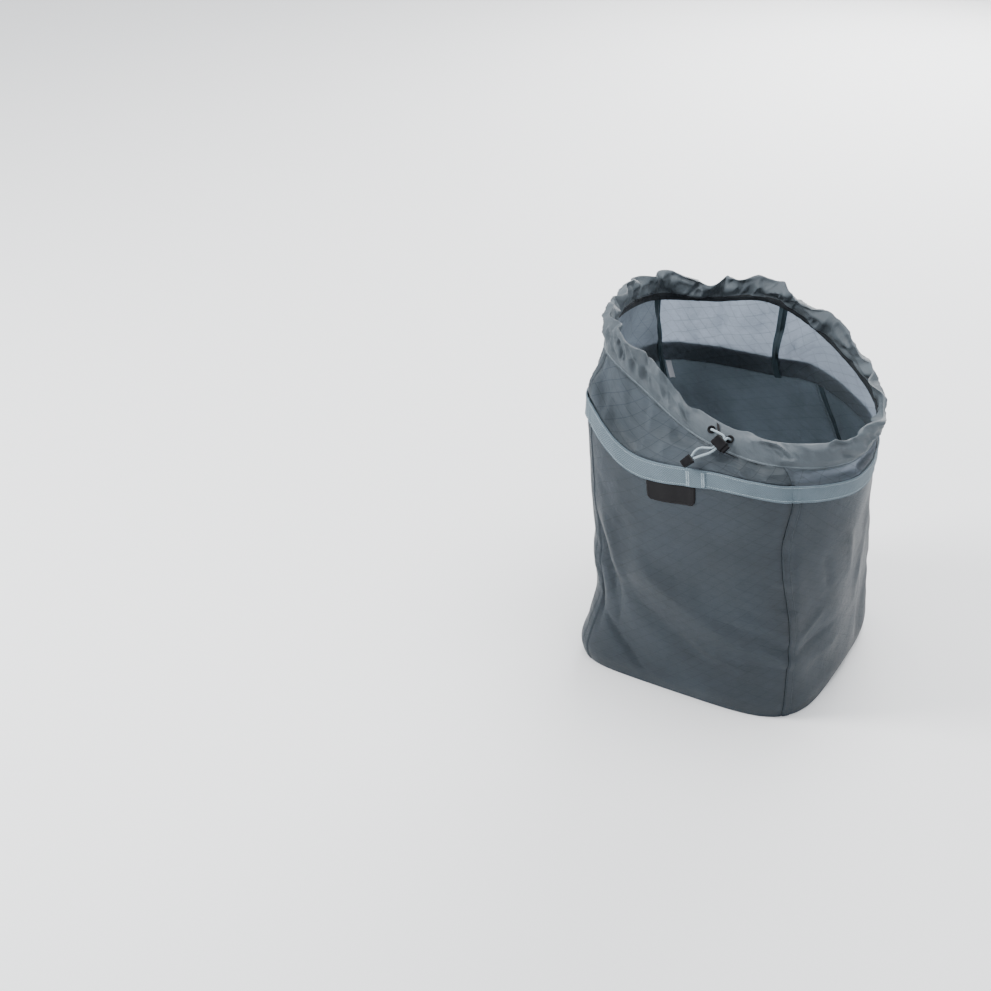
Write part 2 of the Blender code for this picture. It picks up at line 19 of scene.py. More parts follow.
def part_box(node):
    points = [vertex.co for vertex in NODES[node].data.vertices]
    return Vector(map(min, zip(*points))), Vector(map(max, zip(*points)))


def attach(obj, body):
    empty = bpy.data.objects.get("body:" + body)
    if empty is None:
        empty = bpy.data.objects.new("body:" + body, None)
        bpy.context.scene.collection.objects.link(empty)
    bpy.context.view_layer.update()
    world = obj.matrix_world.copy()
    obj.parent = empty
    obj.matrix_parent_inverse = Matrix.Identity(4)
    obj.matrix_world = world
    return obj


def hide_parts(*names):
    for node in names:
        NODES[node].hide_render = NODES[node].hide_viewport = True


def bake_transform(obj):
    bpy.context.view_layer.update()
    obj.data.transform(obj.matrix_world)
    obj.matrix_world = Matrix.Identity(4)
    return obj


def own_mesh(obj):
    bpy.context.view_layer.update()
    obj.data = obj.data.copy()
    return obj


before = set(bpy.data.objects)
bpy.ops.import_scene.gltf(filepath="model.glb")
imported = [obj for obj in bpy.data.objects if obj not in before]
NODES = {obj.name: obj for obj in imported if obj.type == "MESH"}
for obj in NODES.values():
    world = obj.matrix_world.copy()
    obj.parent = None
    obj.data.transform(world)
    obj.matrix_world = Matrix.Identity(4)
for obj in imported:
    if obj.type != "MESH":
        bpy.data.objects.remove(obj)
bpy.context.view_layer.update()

# Sizes, the same as the CAD parts'.
BASE_HALF_WIDTH = 0.167
BASE_HALF_DEPTH = 0.162
PERIMETER = 1.25
BODY_HEIGHT = 0.39
COLLAR_HEIGHT = 0.105
WEBBING_WIDTH = 0.030
WEBBING_THICKNESS = 0.0015
TAPE_WIDTH = 0.012
CASING_HEIGHT = 0.039
CORD_DIAMETER = 0.003
GAP = 0.0003

# Thickness of the shown layers, and their depths from the outer face of the body panels.
BODY_THICKNESS = 0.0006
COLLAR_THICKNESS = 0.0004
CASING_THICKNESS = 0.0005
TAPE_THICKNESS = 0.0006
COLLAR_DEPTH = -0.0016
BODY_TAPE_DEPTH = -0.0015
COLLAR_TAPE_DEPTH = -0.0026
CASING_MIDDLE = -0.0019
SEAM_INSET = 0.0003
BAND_WIDTH = 0.012

# The rim and the top of the collar, in millimetres: twelve points each, three to a side.
RIM_POINTS = [
    (-161, -134, 398), (-86, -162, 354), (30, -170, 364),
    (126, -150, 362), (186, -62, 354), (150, 80, 350),
    (40, 164, 357), (-40, 158, 359), (-120, 142, 361),
    (-176, 108, 366), (-186, 20, 381), (-180, -64, 392),
]
COLLAR_TOP_POINTS = [
    (-142, -108, 498), (-84, -122, 466), (0, -127, 416),
    (88, -134, 410), (178, -68, 414), (160, 60, 414),
    (62, 128, 452), (-22, 134, 488), (-100, 132, 474),
    (-190, 118, 466), (-203, 44, 478), (-177, -38, 494),
]
# The u of the four corner seams. The collar's back right one lies well along the back.
BODY_SEAMS = [0.0, 0.25, 0.5, 0.75]
COLLAR_SEAMS = [0.0, 0.25, 0.565, 0.75]
# The middles of the two eyelets, and how far they lie down from the top of the casing.
EYELET_U = (0.1700, 0.1945)
EYELET_DOWN = 0.018


# ---- camera, light and floor --------------------------------------------------------------

def add_object(name, data):
    made = bpy.data.objects.new(name, data)
    bpy.context.scene.collection.objects.link(made)
    return made


def make_mesh(name, points, faces):
    mesh = bpy.data.meshes.new(name)
    mesh.from_pydata(np.reshape(points, (-1, 3)).tolist(), [], faces)
    return mesh


def add_camera():
    data = bpy.data.cameras.new("camera")
    data.sensor_width = 36
    data.lens = 69
    camera = add_object("camera", data)
    camera.location = (0.777, -2.048, 1.598)
    camera.rotation_euler = (math.radians(57.66), 0, math.radians(29.37))
    bpy.context.scene.camera = camera


def add_area_light(name, location, size, power, target=(0, 0, 0.22), colour=(1, 1, 1)):
    data = bpy.data.lights.new(name, "AREA")
    data.shape = "DISK"
    data.size = size
    data.energy = power
    data.color = colour
    light = add_object(name, data)
    light.location = location
    light.rotation_euler = (Vector(target) - Vector(location)).to_track_quat("-Z", "Y").to_euler()


def add_studio():
    """Pale surroundings, three soft lights and a pale floor."""
    world = bpy.data.worlds.new("studio")
    world.use_nodes = True
    background = world.node_tree.nodes["Background"]
    background.inputs["Color"].default_value = (0.93, 0.96, 1.0, 1)
    background.inputs["Strength"].default_value = 1.05
    bpy.context.scene.world = world
    add_area_light("key", (-2.2, -1.3, 2.0), 1.0, 105)
    add_area_light("top", (0.3, 0.3, 2.6), 1.8, 55)
    add_area_light("back", (-0.4, 2.6, 1.3), 2.0, 95)
    size = 30
    corners = [(-size, -size, 0), (size, -size, 0), (size, size, 0), (-size, size, 0)]
    mesh = make_mesh("floor", corners, [(0, 1, 2, 3)])
    floor = add_object("floor", mesh)
    material = bpy.data.materials.new("pale floor")
    material.use_nodes = True
    shader = material.node_tree.nodes["Principled BSDF"]
    shader.inputs["Base Color"].default_value = (0.93, 0.935, 0.94, 1)
    shader.inputs["Roughness"].default_value = 0.8
    mesh.materials.append(material)


# ---- materials ----------------------------------------------------------------------------

def add_node(tree, kind, inputs=None, **settings):
    """A shader node; an input's value is a number, a colour or another node's output."""
    node = tree.nodes.new(kind)
    for key, value in settings.items():
        setattr(node, key, value)
    for key, value in (inputs or {}).items():
        if isinstance(value, bpy.types.NodeSocket):
            tree.links.new(value, node.inputs[key])
        else:
            node.inputs[key].default_value = value
    return node


def math_node(tree, operation, *values):
    return add_node(tree, "ShaderNodeMath", dict(enumerate(values)), operation=operation).outputs[0]


def start_material(name, roughness, **sockets):
    material = bpy.data.materials.new(name)
    material.use_nodes = True
    shader = material.node_tree.nodes["Principled BSDF"]
    shader.inputs["Roughness"].default_value = roughness
    for socket, value in sockets.items():
        shader.inputs[socket.replace("_", " ")].default_value = value
    return material, material.node_tree, shader


def metre_uv(tree):
    """The place on the flat cloth, in metres."""
    return add_node(tree, "ShaderNodeUVMap", uv_map="metres").outputs["UV"]


def object_place(tree):
    return add_node(tree, "ShaderNodeTexCoord").outputs["Object"]


def cloudy(tree, place, cells_a_metre, detail=3.0, roughness=0.5):
    noise = add_node(tree, "ShaderNodeTexNoise", {
        "Vector": place, "Scale": cells_a_metre, "Detail": detail, "Roughness": roughness})
    return noise.outputs["Fac"]


def spread(tree, value, low, high, to_low, to_high, smooth=True):
    """A value mapped from one range to another, with soft ends unless smooth is off."""
    return add_node(tree, "ShaderNodeMapRange", {
        "Value": value, "From Min": low, "From Max": high, "To Min": to_low, "To Max": to_high,
    }, interpolation_type="SMOOTHSTEP" if smooth else "LINEAR").outputs["Result"]


def mix_colour(tree, factor, first, second):
    mix = add_node(tree, "ShaderNodeMix", {"Factor": factor}, data_type="RGBA")
    for key, value in ((6, first), (7, second)):
        if isinstance(value, bpy.types.NodeSocket):
            tree.links.new(value, mix.inputs[key])
        else:
            mix.inputs[key].default_value = (*value, 1)
    return mix.outputs[2]


def scaled(tree, colour, shade):
    """A colour made darker or lighter by a shade around 1."""
    return add_node(tree, "ShaderNodeVectorMath", {0: colour, 3: shade}, operation="SCALE").outputs[0]


def thread_rows(tree, uv, degrees, pitch):
    """0 in the gap between two threads to 1 on top of one, for threads at an angle."""
    angle = math.radians(degrees)
    across = (-math.sin(angle) / pitch, math.cos(angle) / pitch, 0)
    dot = add_node(tree, "ShaderNodeVectorMath", {0: uv, 1: across}, operation="DOT_PRODUCT")
    return math_node(tree, "PINGPONG", dot.outputs["Value"], 0.5)


def line_family(tree, uv, degrees, spacing, width):
    """1 on lines at an angle, so many metres apart and so wide, and 0 between them."""
    rows = thread_rows(tree, uv, degrees, spacing)
    return spread(tree, rows, 0, width / spacing, 1, 0)


def plain_weave(tree, uv, pitch):
    """The height of a plain weave, whose warp and weft take turns on top."""
    warp = thread_rows(tree, uv, 0, pitch)
    weft = thread_rows(tree, uv, 90, pitch)
    over = thread_rows(tree, uv, 45, pitch * 1.4142)
    return math_node(tree, "ADD", math_node(tree, "MULTIPLY", warp, over), weft)


def bump(tree, shader, layers):
    """Bumps laid over each other: (height, depth in metres) from the coarsest to the finest."""
    normal = None
    for height, depth in layers:
        inputs = {"Height": height, "Distance": depth, "Strength": 1.0}
        if normal is not None:
            inputs["Normal"] = normal
        normal = add_node(tree, "ShaderNodeBump", inputs).outputs["Normal"]
    tree.links.new(normal, shader.inputs["Normal"])
    return normal


def let_light_through(tree, shader, normal, shade, translucent):
    """Mixes translucent cloth into a material, as (its colour, its share)."""
    colour, share = translucent
    glow = add_node(tree, "ShaderNodeBsdfTranslucent", {
        "Color": scaled(tree, colour, shade), "Normal": normal})
    mix = add_node(tree, "ShaderNodeMixShader", {
        0: share, 1: shader.outputs[0], 2: glow.outputs[0]})
    tree.links.new(mix.outputs[0], tree.nodes["Material Output"].inputs["Surface"])


def ripstop(name, colour, lines, roughness, line_shade=0.62, translucent=None, sheen=0.05):
    """Coated ripstop: a fine plain weave crossed by two families of thicker threads."""
    material, tree, shader = start_material(name, roughness, Sheen_Weight=sheen,
                                            Sheen_Roughness=0.4, Specular_IOR_Level=0.3)
    uv = metre_uv(tree)
    families = [line_family(tree, uv, degrees, spacing, LINE_WIDTH) for degrees, spacing in lines]
    lattice = math_node(tree, "MAXIMUM", *families)
    clouds = cloudy(tree, uv, 9, 4)
    slubs = cloudy(tree, add_node(tree, "ShaderNodeMapping", {
        "Vector": uv, "Scale": (60, 900, 1)}).outputs["Vector"], 1, 2)
    shade = spread(tree, clouds, 0.3, 0.7, 0.90, 1.10)
    shade = math_node(tree, "MULTIPLY", shade, spread(tree, slubs, 0.3, 0.7, 0.95, 1.05))
    shade = math_node(tree, "MULTIPLY", shade, spread(tree, lattice, 0, 1, 1, line_shade, False))
    red, green, blue = colour
    tint = mix_colour(tree, clouds, [c * 0.96 for c in colour], (red, green, blue * 1.05))
    tree.links.new(scaled(tree, tint, shade), shader.inputs["Base Color"])
    tree.links.new(spread(tree, clouds, 0.3, 0.7, roughness - 0.05, roughness + 0.06),
                   shader.inputs["Roughness"])
    crumple = cloudy(tree, uv, 85, 4, 0.6)
    normal = bump(tree, shader, [
        (crumple, 0.0010), (lattice, 0.00016), (plain_weave(tree, uv, 0.00055), 0.00008)])
    if translucent:
        let_light_through(tree, shader, normal, shade, translucent)
    return material


def woven(name, colour, roughness, pitch, twill=False, dark=0.75, translucent=None):
    """A tape, a webbing or a plain cloth with threads of that pitch. Its colour falls to dark down
    between the threads: painted shade in the gaps of the weave.
    """
    material, tree, shader = start_material(name, roughness, Sheen_Weight=0.08,
                                            Sheen_Roughness=0.4, Specular_IOR_Level=0.25)
    uv = metre_uv(tree)
    if twill:
        ribs = thread_rows(tree, uv, 52, pitch)
        cross = thread_rows(tree, uv, -38, pitch * 0.8)
        height = math_node(tree, "ADD", math_node(tree, "MULTIPLY", ribs, 1.4), cross)
    else:
        height = plain_weave(tree, uv, pitch)
    clouds = cloudy(tree, uv, 25, 4)
    # Darker down between the threads, to dark: painted shade in the gaps of the weave.
    shade = math_node(tree, "MULTIPLY", spread(tree, clouds, 0.3, 0.7, 0.92, 1.08),
                      spread(tree, height, 0, 0.7, dark, 1.08))
    tree.links.new(scaled(tree, colour, shade), shader.inputs["Base Color"])
    normal = bump(tree, shader, [(cloudy(tree, uv, 140, 3, 0.6), 0.0006), (height, pitch * 0.3)])
    if translucent:
        let_light_through(tree, shader, normal, shade, translucent)
    return material


def braid(name, colour):
    """A round braided cord: strands that cross in both directions, darker where they dip under each
    other: painted shade between the strands.
    """
    material, tree, shader = start_material(name, 0.6, Sheen_Weight=0.3)
    uv = metre_uv(tree)
    one = thread_rows(tree, uv, 38, 0.0008)
    other = thread_rows(tree, uv, -38, 0.0008)
    height = math_node(tree, "MAXIMUM", one, other)
    # Darker where the strands dip under each other: painted shade between the strands.
    shade = spread(tree, height, 0.15, 0.5, 0.70, 1.10)
    tree.links.new(scaled(tree, colour, shade), shader.inputs["Base Color"])
    bump(tree, shader, [(height, 0.0003)])
    return material


def moulded(name, colour, roughness, grain=0.00003, cells=2600, metallic=0.0, specular=0.25):
    """Moulded plastic, rubber or drawn metal with a fine grain and slightly rubbed places."""
    material, tree, shader = start_material(name, roughness, Metallic=metallic,
                                            Specular_IOR_Level=specular)
    place = object_place(tree)
    rubbed = cloudy(tree, place, 120, 4)
    base = mix_colour(tree, spread(tree, rubbed, 0.35, 0.7, 0, 1), colour, [c * 1.35 for c in colour])
    tree.links.new(base, shader.inputs["Base Color"])
    tree.links.new(spread(tree, rubbed, 0.3, 0.7, roughness - 0.06, roughness + 0.08),
                   shader.inputs["Roughness"])
    bump(tree, shader, [(cloudy(tree, place, cells, 2), grain)])
    return material


# The ripstop's two families of thicker threads: their angle in degrees and their spacing.
FRONT_LINES = ((-14, 0.0169), (40, 0.0136))
SIDE_LINES = ((-35, 0.0140), (53, 0.0220))
LINE_WIDTH = 0.0006
BODY_COLOUR = (0.033, 0.043, 0.052)
BODY_GLOW = ((0.44, 0.50, 0.55), 0.31)
# The collar's panels: their colour, and the colour and share of the light they let through.
# Seen from the front, the back and right ones have the light behind them and get lighter copies of
# both: painted backlight on the same fabric.
COLLAR_LOOKS_WITH_PAINTED_BACKLIGHT = {
    "front": ((0.075, 0.092, 0.104), ((0.44, 0.48, 0.53), 0.48)),
    "left": ((0.075, 0.092, 0.104), ((0.44, 0.48, 0.53), 0.48)),
    "right": ((0.110, 0.132, 0.148), ((0.62, 0.67, 0.74), 0.56)),
    "back": ((0.110, 0.132, 0.148), ((0.62, 0.67, 0.74), 0.58)),
}


def make_materials():
    across = {"front": FRONT_LINES, "right": SIDE_LINES, "back": FRONT_LINES, "left": SIDE_LINES}
    made = {}
    for side, lines in across.items():
        made[f"body_{side}"] = ripstop(f"body ripstop {side}", BODY_COLOUR, lines, 0.42,
                                       0.84, BODY_GLOW)
        # The back and right collar panels take lighter copies of the fabric: painted backlight.
        colour, glow = COLLAR_LOOKS_WITH_PAINTED_BACKLIGHT[side]
        made[f"collar_{side}"] = ripstop(f"collar ripstop {side}", colour, lines, 0.46, 0.74, glow)
    made["base"] = ripstop("base ripstop", (0.045, 0.058, 0.068), FRONT_LINES, 0.5)
    made["casing"] = woven("casing cloth", (0.112, 0.134, 0.152), 0.42, 0.0006, dark=0.85,
                           translucent=((0.30, 0.36, 0.40), 0.25))
    made["webbing"] = woven("twill webbing", (0.112, 0.152, 0.180), 0.65, 0.0021, twill=True,
                            dark=0.62)
    made["hem"] = woven("overlocked hem", (0.018, 0.022, 0.026), 0.7, 0.0009)
    made["tape"] = woven("binding tape", (0.032, 0.052, 0.064), 0.7, 0.0008)
    made["black_tape"] = woven("black tape", (0.009, 0.0085, 0.010), 0.65, 0.0007)
    made["label"] = woven("label satin", (0.50, 0.51, 0.55), 0.4, 0.0005, dark=0.92)
    made["cord"] = braid("braided cord", (0.27, 0.34, 0.38))
    made["rubber"] = moulded("matt rubber", (0.0065, 0.0062, 0.0070), 0.6, 0.00006, 1800,
                             specular=0.12)
    made["plastic"] = moulded("moulded plastic", (0.0055, 0.0053, 0.0062), 0.34, specular=0.12)
    made["steel"] = moulded("spring steel", (0.55, 0.55, 0.56), 0.3, 0.00001, 3000, 1.0)
    threads = {"casing": (0.20, 0.24, 0.27), "light": (0.36, 0.43, 0.47),
               "body": (0.050, 0.066, 0.078), "dark": (0.022, 0.027, 0.032)}
    for name, colour in threads.items():
        made[f"{name}_thread"] = moulded(f"{name} thread", colour, 0.6, 0.0001, 3000)
    return made


# ---- the shell ----------------------------------------------------------------------------

def curve_between(a, b, c, d, t):
    """A smooth curve from b to c, on its way from a to d, read at t from 0 to 1."""
    return 0.5 * (2 * b + (c - a) * t + (2 * a - 5 * b + 4 * c - d) * t**2
                  + (3 * b - a - 3 * c + d) * t**3)


def matched(*values):
    """Numbers and arrays, repeated so that all of them have one shape."""
    return np.broadcast_arrays(*(np.asarray(x, float) for x in values))


def closed_curve(points, u):
    """A smooth closed curve through evenly numbered points, read at u from 0 to 1."""
    points = np.asarray(points, float)
    count = len(points)
    place = (np.asarray(u, float) % 1) * count
    index = np.floor(place).astype(int)
    t = (place - index)[:, None]
    return curve_between(*(points[(index + k) % count] for k in (-1, 0, 1, 2)), t)


def level(spread, squareness, height, u):
    """A level superellipse so much wider all round than the base, with its corners at u = 0,
    0.25, 0.5 and 0.75 and evenly spaced by arc length."""
    angle = np.linspace(0, 2 * math.pi, 1441) - 0.75 * math.pi
    cosine, sine = np.cos(angle), np.sin(angle)
    x = (BASE_HALF_WIDTH + spread) * np.sign(cosine) * np.abs(cosine) ** (2 / squareness)
    y = (BASE_HALF_DEPTH + spread) * np.sign(sine) * np.abs(sine) ** (2 / squareness)
    along = np.concatenate([[0], np.cumsum(np.hypot(np.diff(x), np.diff(y)))])
    at = (np.asarray(u, float) % 1) * along[-1]
    return np.column_stack([np.interp(at, along, x), np.interp(at, along, y),
                            np.full(len(at), height)])


CHEST_HEIGHT = 0.27
RIM_MEAN_HEIGHT = closed_curve(RIM_POINTS, np.arange(0, 1, 1 / 48))[:, 2].mean() / 1000


def rings(u):
    """The bag's rings as (v, points) from the base to the top of the collar."""
    rim = closed_curve(RIM_POINTS, u) / 1000
    top = closed_curve(COLLAR_TOP_POINTS, u) / 1000
    chest = 0.42 * level(0.007, 3.8, CHEST_HEIGHT, u) + 0.58 * rim
    chest[:, 2] = CHEST_HEIGHT * rim[:, 2] / RIM_MEAN_HEIGHT
    return [
        (0.0, level(0.0, 4.3, 0.0, u)),
        (0.08, level(0.003, 4.3, 0.030, u)),
        (0.44, level(0.004, 3.8, 0.16, u)),
        (0.74, chest),
        (1.0, rim),
        (1.5, 0.5 * (rim + top)),
        (2.0, top),
    ]


def steady_slopes(knots, values):
    """Slopes at the rings that let a curve through them rise and fall only where they do."""
    secants = np.diff(values, axis=0) / np.diff(knots)[:, None, None]
    before, after = secants[:-1], secants[1:]
    same = before * after > 0
    total = np.where(same, before + after, 1)
    inner = np.where(same, 2 * before * after / total, 0)
    return np.concatenate([secants[:1], inner, secants[-1:]])


def up_the_cloth(v):
    """The length of cloth from the base up to v."""
    return np.where(v <= 1, v * BODY_HEIGHT, BODY_HEIGHT + (v - 1) * COLLAR_HEIGHT)


def nominal(u, v):
    """Points of the smooth shell's outer face at matching u and v."""
    u, v = matched(u, v)
    shape, u, v = u.shape, u.ravel(), v.ravel()
    at_v, values = zip(*rings(u))
    knots, values, place = up_the_cloth(np.array(at_v)), np.array(values), up_the_cloth(v)
    slopes = steady_slopes(knots, values)
    low = np.clip(np.searchsorted(knots, place, side="right") - 1, 0, len(knots) - 2)
    high, each = low + 1, np.arange(len(u))
    step = (knots[high] - knots[low])[:, None]
    t = (place - knots[low])[:, None] / step
    points = ((2 * t**3 - 3 * t**2 + 1) * values[low, each]
              + (t**3 - 2 * t**2 + t) * step * slopes[low, each]
              + (3 * t**2 - 2 * t**3) * values[high, each]
              + (t**3 - t**2) * step * slopes[high, each])
    return points.reshape(*shape, 3)


def pairs(x, y):
    """Two arrays, of shapes that match when repeated, as one array of (x, y)."""
    return np.stack(np.broadcast_arrays(x, y), -1)


def band_quads(rows, columns):
    """The faces of a grid of points whose columns run right round."""
    number = np.arange(rows * columns).reshape(rows, columns)
    ahead = np.roll(number, -1, axis=1)
    return np.stack([number[:-1], ahead[:-1], ahead[1:], number[1:]], -1).reshape(-1, 4).tolist()


def unit(vectors):
    """The vectors at a length of 1."""
    return vectors / np.maximum(np.linalg.norm(vectors, axis=-1, keepdims=True), 1e-12)


def nominal_out(u, v, out):
    """Points so many metres outwards from the smooth shell."""
    small = 1e-3
    across = nominal(u + small, v) - nominal(u - small, v)
    up = nominal(u, np.minimum(v + small, 2)) - nominal(u, np.maximum(v - small, 0))
    return nominal(u, v) + np.asarray(out)[..., None] * unit(np.cross(across, up))


def collar_length(u):
    """The collar's height at u, from the rim to its top, along the cloth."""
    u = np.asarray(u, float)
    flat = u.ravel()
    gap = closed_curve(COLLAR_TOP_POINTS, flat) - closed_curve(RIM_POINTS, flat)
    return np.linalg.norm(gap, axis=1).reshape(u.shape) / 1000


def collar_v(u, down):
    """The smooth shell's v that lies so many metres down from the collar's top."""
    return 2 - down / collar_length(u)


def shell_v(u, w):
    """The smooth shell's v for the drape's w."""
    top = collar_v(u, CASING_HEIGHT - 0.003)
    return np.where(w <= 1, w, 1 + (w - 1) * (top - 1))


# ---- noise, folds and puckers -------------------------------------------------------------

def noise(x, y, wrap, seed):
    """Smooth noise from -1 to 1 with one cell a unit; x repeats after wrap cells."""
    table = np.random.default_rng(seed).uniform(-1, 1, (wrap, 64))
    xi, yi = np.floor(x).astype(int), np.floor(y).astype(int)
    fx, fy = x - xi, y - yi
    fx, fy = (f * f * f * (f * (6 * f - 15) + 10) for f in (fx, fy))
    low = table[xi % wrap, yi % 64] * (1 - fx) + table[(xi + 1) % wrap, yi % 64] * fx
    high = table[xi % wrap, (yi + 1) % 64] * (1 - fx) + table[(xi + 1) % wrap, (yi + 1) % 64] * fx
    return (low * (1 - fy) + high * fy) * 1.4


def noise_round(cells, u, y, seed, shift=0):
    """Noise with so many cells once round the bag, where it meets itself."""
    return noise(u * cells + shift, y, cells, seed)


def ridged(values, steep=2.4):
    """1 along the lines where the values are 0, falling steeply to both sides."""
    return 1 - steep * np.abs(values)


def smooth_step(x, start, end):
    t = np.clip((x - start) / (end - start), 0, 1)
    return t * t * (3 - 2 * t)


def bell(x, width):
    """1 where x is 0, falling smoothly to either side, to about a third at that width."""
    return np.exp(-(x / width) ** 2)


def round_gap(u, centre):
    """Signed distance round the bag from a place, from -0.5 to 0.5."""
    return (np.asarray(u) - centre + 0.5) % 1 - 0.5


# Creases of the body: start and end as (u, w), half width in metres, height in metres and how
# sharp they are, from 0, a soft roll, to 1, a pressed fold.
CREASES = [
    ((0.020, 0.245), (0.085, 0.060), 0.006, -0.0052, 0.9),
    ((0.012, 0.600), (0.034, 0.330), 0.009, -0.0080, 0.7),
    ((0.028, 0.660), (0.048, 0.380), 0.012, 0.0040, 0.2),
    ((0.006, 0.440), (0.016, 0.180), 0.007, -0.0060, 0.8),
    ((0.036, 0.480), (0.044, 0.210), 0.006, -0.0034, 0.8),
    ((0.040, 0.420), (0.170, 0.180), 0.020, -0.0062, 0.2),
    ((0.060, 0.540), (0.190, 0.310), 0.024, 0.0062, 0.2),
    ((0.110, 0.300), (0.200, 0.190), 0.010, 0.0016, 0.4),
    ((0.232, 0.420), (0.195, 0.470), 0.006, -0.0016, 0.5),
    ((0.238, 0.330), (0.170, 0.400), 0.009, -0.0026, 0.4),
    ((0.240, 0.275), (0.188, 0.300), 0.007, 0.0020, 0.4),
    ((0.240, 0.215), (0.180, 0.225), 0.009, -0.0022, 0.3),
    ((0.262, 0.500), (0.264, 0.780), 0.005, -0.0022, 0.7),
    ((0.262, 0.330), (0.300, 0.420), 0.008, 0.0028, 0.4),
    ((0.262, 0.270), (0.330, 0.340), 0.010, -0.0030, 0.4),
    ((0.266, 0.200), (0.350, 0.250), 0.012, 0.0022, 0.3),
    ((0.300, 0.700), (0.306, 0.520), 0.007, -0.0028, 0.5),
    ((0.330, 0.760), (0.342, 0.540), 0.008, 0.0026, 0.5),
    ((0.372, 0.800), (0.378, 0.350), 0.010, 0.0040, 0.3),
    ((0.398, 0.780), (0.404, 0.420), 0.010, -0.0040, 0.4),
    ((0.560, 0.800), (0.600, 0.300), 0.016, -0.0040, 0.2),
    ((0.640, 0.700), (0.610, 0.250), 0.018, 0.0040, 0.2),
    ((0.700, 0.850), (0.672, 0.420), 0.012, -0.0035, 0.4),
    ((0.795, 0.820), (0.830, 0.380), 0.014, 0.0035, 0.3),
    ((0.880, 0.720), (0.850, 0.250), 0.018, -0.0040, 0.2),
    ((0.950, 0.850), (0.965, 0.400), 0.010, -0.0030, 0.5),
    ((0.760, 0.260), (0.820, 0.120), 0.010, 0.0026, 0.5),
    ((0.520, 0.300), (0.575, 0.200), 0.010, -0.0026, 0.4),
]


def crease(u, w, start, end, width, height, sharp):
    """The height of one crease at u and w, faded out beyond its ends."""
    x, y = round_gap(u, start[0]) * PERIMETER, (w - start[1]) * BODY_HEIGHT
    run = np.array([round_gap(end[0], start[0]) * PERIMETER, (end[1] - start[1]) * BODY_HEIGHT])
    length = np.hypot(*run)
    along = (x * run[0] + y * run[1]) / length**2
    off = np.abs(x * run[1] - y * run[0]) / length
    taper = smooth_step(along, -0.15, 0.25) * (1 - smooth_step(along, 0.7, 1.2))
    soft = bell(off, width)
    pressed = np.exp(-off / (0.55 * width))
    return height * taper * ((1 - sharp) * soft + sharp * pressed)


# How strongly the fabric puckers beside each of the four corner seams.
SEAM_PUCKERS = [0.9, 1.0, 0.45, 0.8]


def seam_relief(u, w):
    """A seam's groove, the flat stitched band beside it, and puckers running off it."""
    total = np.zeros(np.broadcast(u, w).shape)
    on_body = 1 - smooth_step(w, 0.97, 1.0)
    for corner in range(4):
        gap = round_gap(u, np.where(w < 1, BODY_SEAMS[corner], COLLAR_SEAMS[corner])) * PERIMETER
        far = np.abs(gap)
        total -= 0.0010 * bell(far, 0.0012)
        band = (gap > 0) * (1 - smooth_step(gap, BAND_WIDTH - 0.0012, BAND_WIDTH))
        total += 0.0007 * band * on_body
        total -= 0.0007 * on_body * bell(gap - BAND_WIDTH - 0.0004, 0.0009)
        edge = np.maximum(far - 0.3 * BAND_WIDTH, 0)
        lean = np.where(gap > 0, 1, -1)
        ripple = noise(w * 20 + lean * far * 22, far * 14 + 3 * corner, 64, 31 + corner)
        small = noise(w * 52 + lean * far * 30, far * 20 + corner, 64, 41 + corner)
        strength = smooth_step(w, 0.02, 0.15) * (0.35 + 0.65 * bell(w - 0.3, 0.22))
        strength = strength * SEAM_PUCKERS[corner]
        total += strength * on_body * (0.0026 * ripple * np.exp(-edge / 0.022)
                                       + 0.0007 * small * np.exp(-edge / 0.010))
    return total


def rim_relief(u, w):
    """Small gathers above and below the webbing, where the fabric is sewn to it."""
    drop = np.abs(w - 0.965) * BODY_HEIGHT
    gathers = noise_round(120, u, w * 6, 5, 0.8 * noise_round(30, u, w * 8, 7))
    return 0.0010 * gathers * np.exp(-drop / 0.028) * (1 - np.exp(-drop / 0.012))


def slackness(u):
    """1 round most of the collar, and less along the back, where it hangs almost flat."""
    return 1 - 0.85 * bell(round_gap(u, 0.47), 0.05)


def collar_relief(u, w):
    """Hanging folds of the thin collar, fullest half way up and gathered under the casing."""
    rise = np.clip(w - 1, 0, 1)
    full = np.sin(math.pi * rise ** 0.8)
    lean = u + 0.012 * noise_round(9, u, rise * 1.5, 12) * rise
    long_folds = noise_round(26, lean, rise * 0.9, 14)
    ridges = ridged(noise_round(38, lean, rise * 1.2, 15, 4), 2.2)
    under_casing = smooth_step(rise, 0.3, 0.7) * (1 - smooth_step(rise, 0.84, 1))
    gathers = noise_round(110, u, rise * 1.3, 16) * under_casing
    return slackness(u) * (full * (0.0056 * long_folds + 0.0030 * ridges) + 0.0013 * gathers)


def relief(u, w):
    """How far the fabric stands proud of the drape, for all its folds and puckers."""
    body = w < 1
    total = seam_relief(u, w) + rim_relief(u, w)
    base = smooth_step(w, 0.0, 0.05)
    for start, end, width, height, sharp in CREASES:
        total = total + base * body * crease(u, w, start, end, width, height, sharp)
    # The front left corner flares out at the floor and is pinched in above it.
    corner = bell(round_gap(u, 0.0) * PERIMETER, 0.045)
    total = total + corner * (0.012 * bell(w - 0.06, 0.09)
                              - 0.006 * bell(w - 0.30, 0.10))
    slack = 0.0005 * noise_round(44, u, w * 15, 22, 1.5 * noise_round(12, u, w * 5, 21))
    total = total + base * slack * (1 - smooth_step(w, 0.85, 0.98))
    return total + np.where(body, 0, collar_relief(u, w))


# ---- drape --------------------------------------------------------------------------------

DRAPE_COLUMNS = 192
BODY_LEVELS = 56
COLLAR_LEVELS = 16
LEVELS = np.concatenate([np.linspace(0, 1, BODY_LEVELS), np.linspace(1, 2, COLLAR_LEVELS)[1:]])
# The furthest that the simulation may move a point.
MOST_SLACK = 0.014
CLOTH_FRAMES = 24


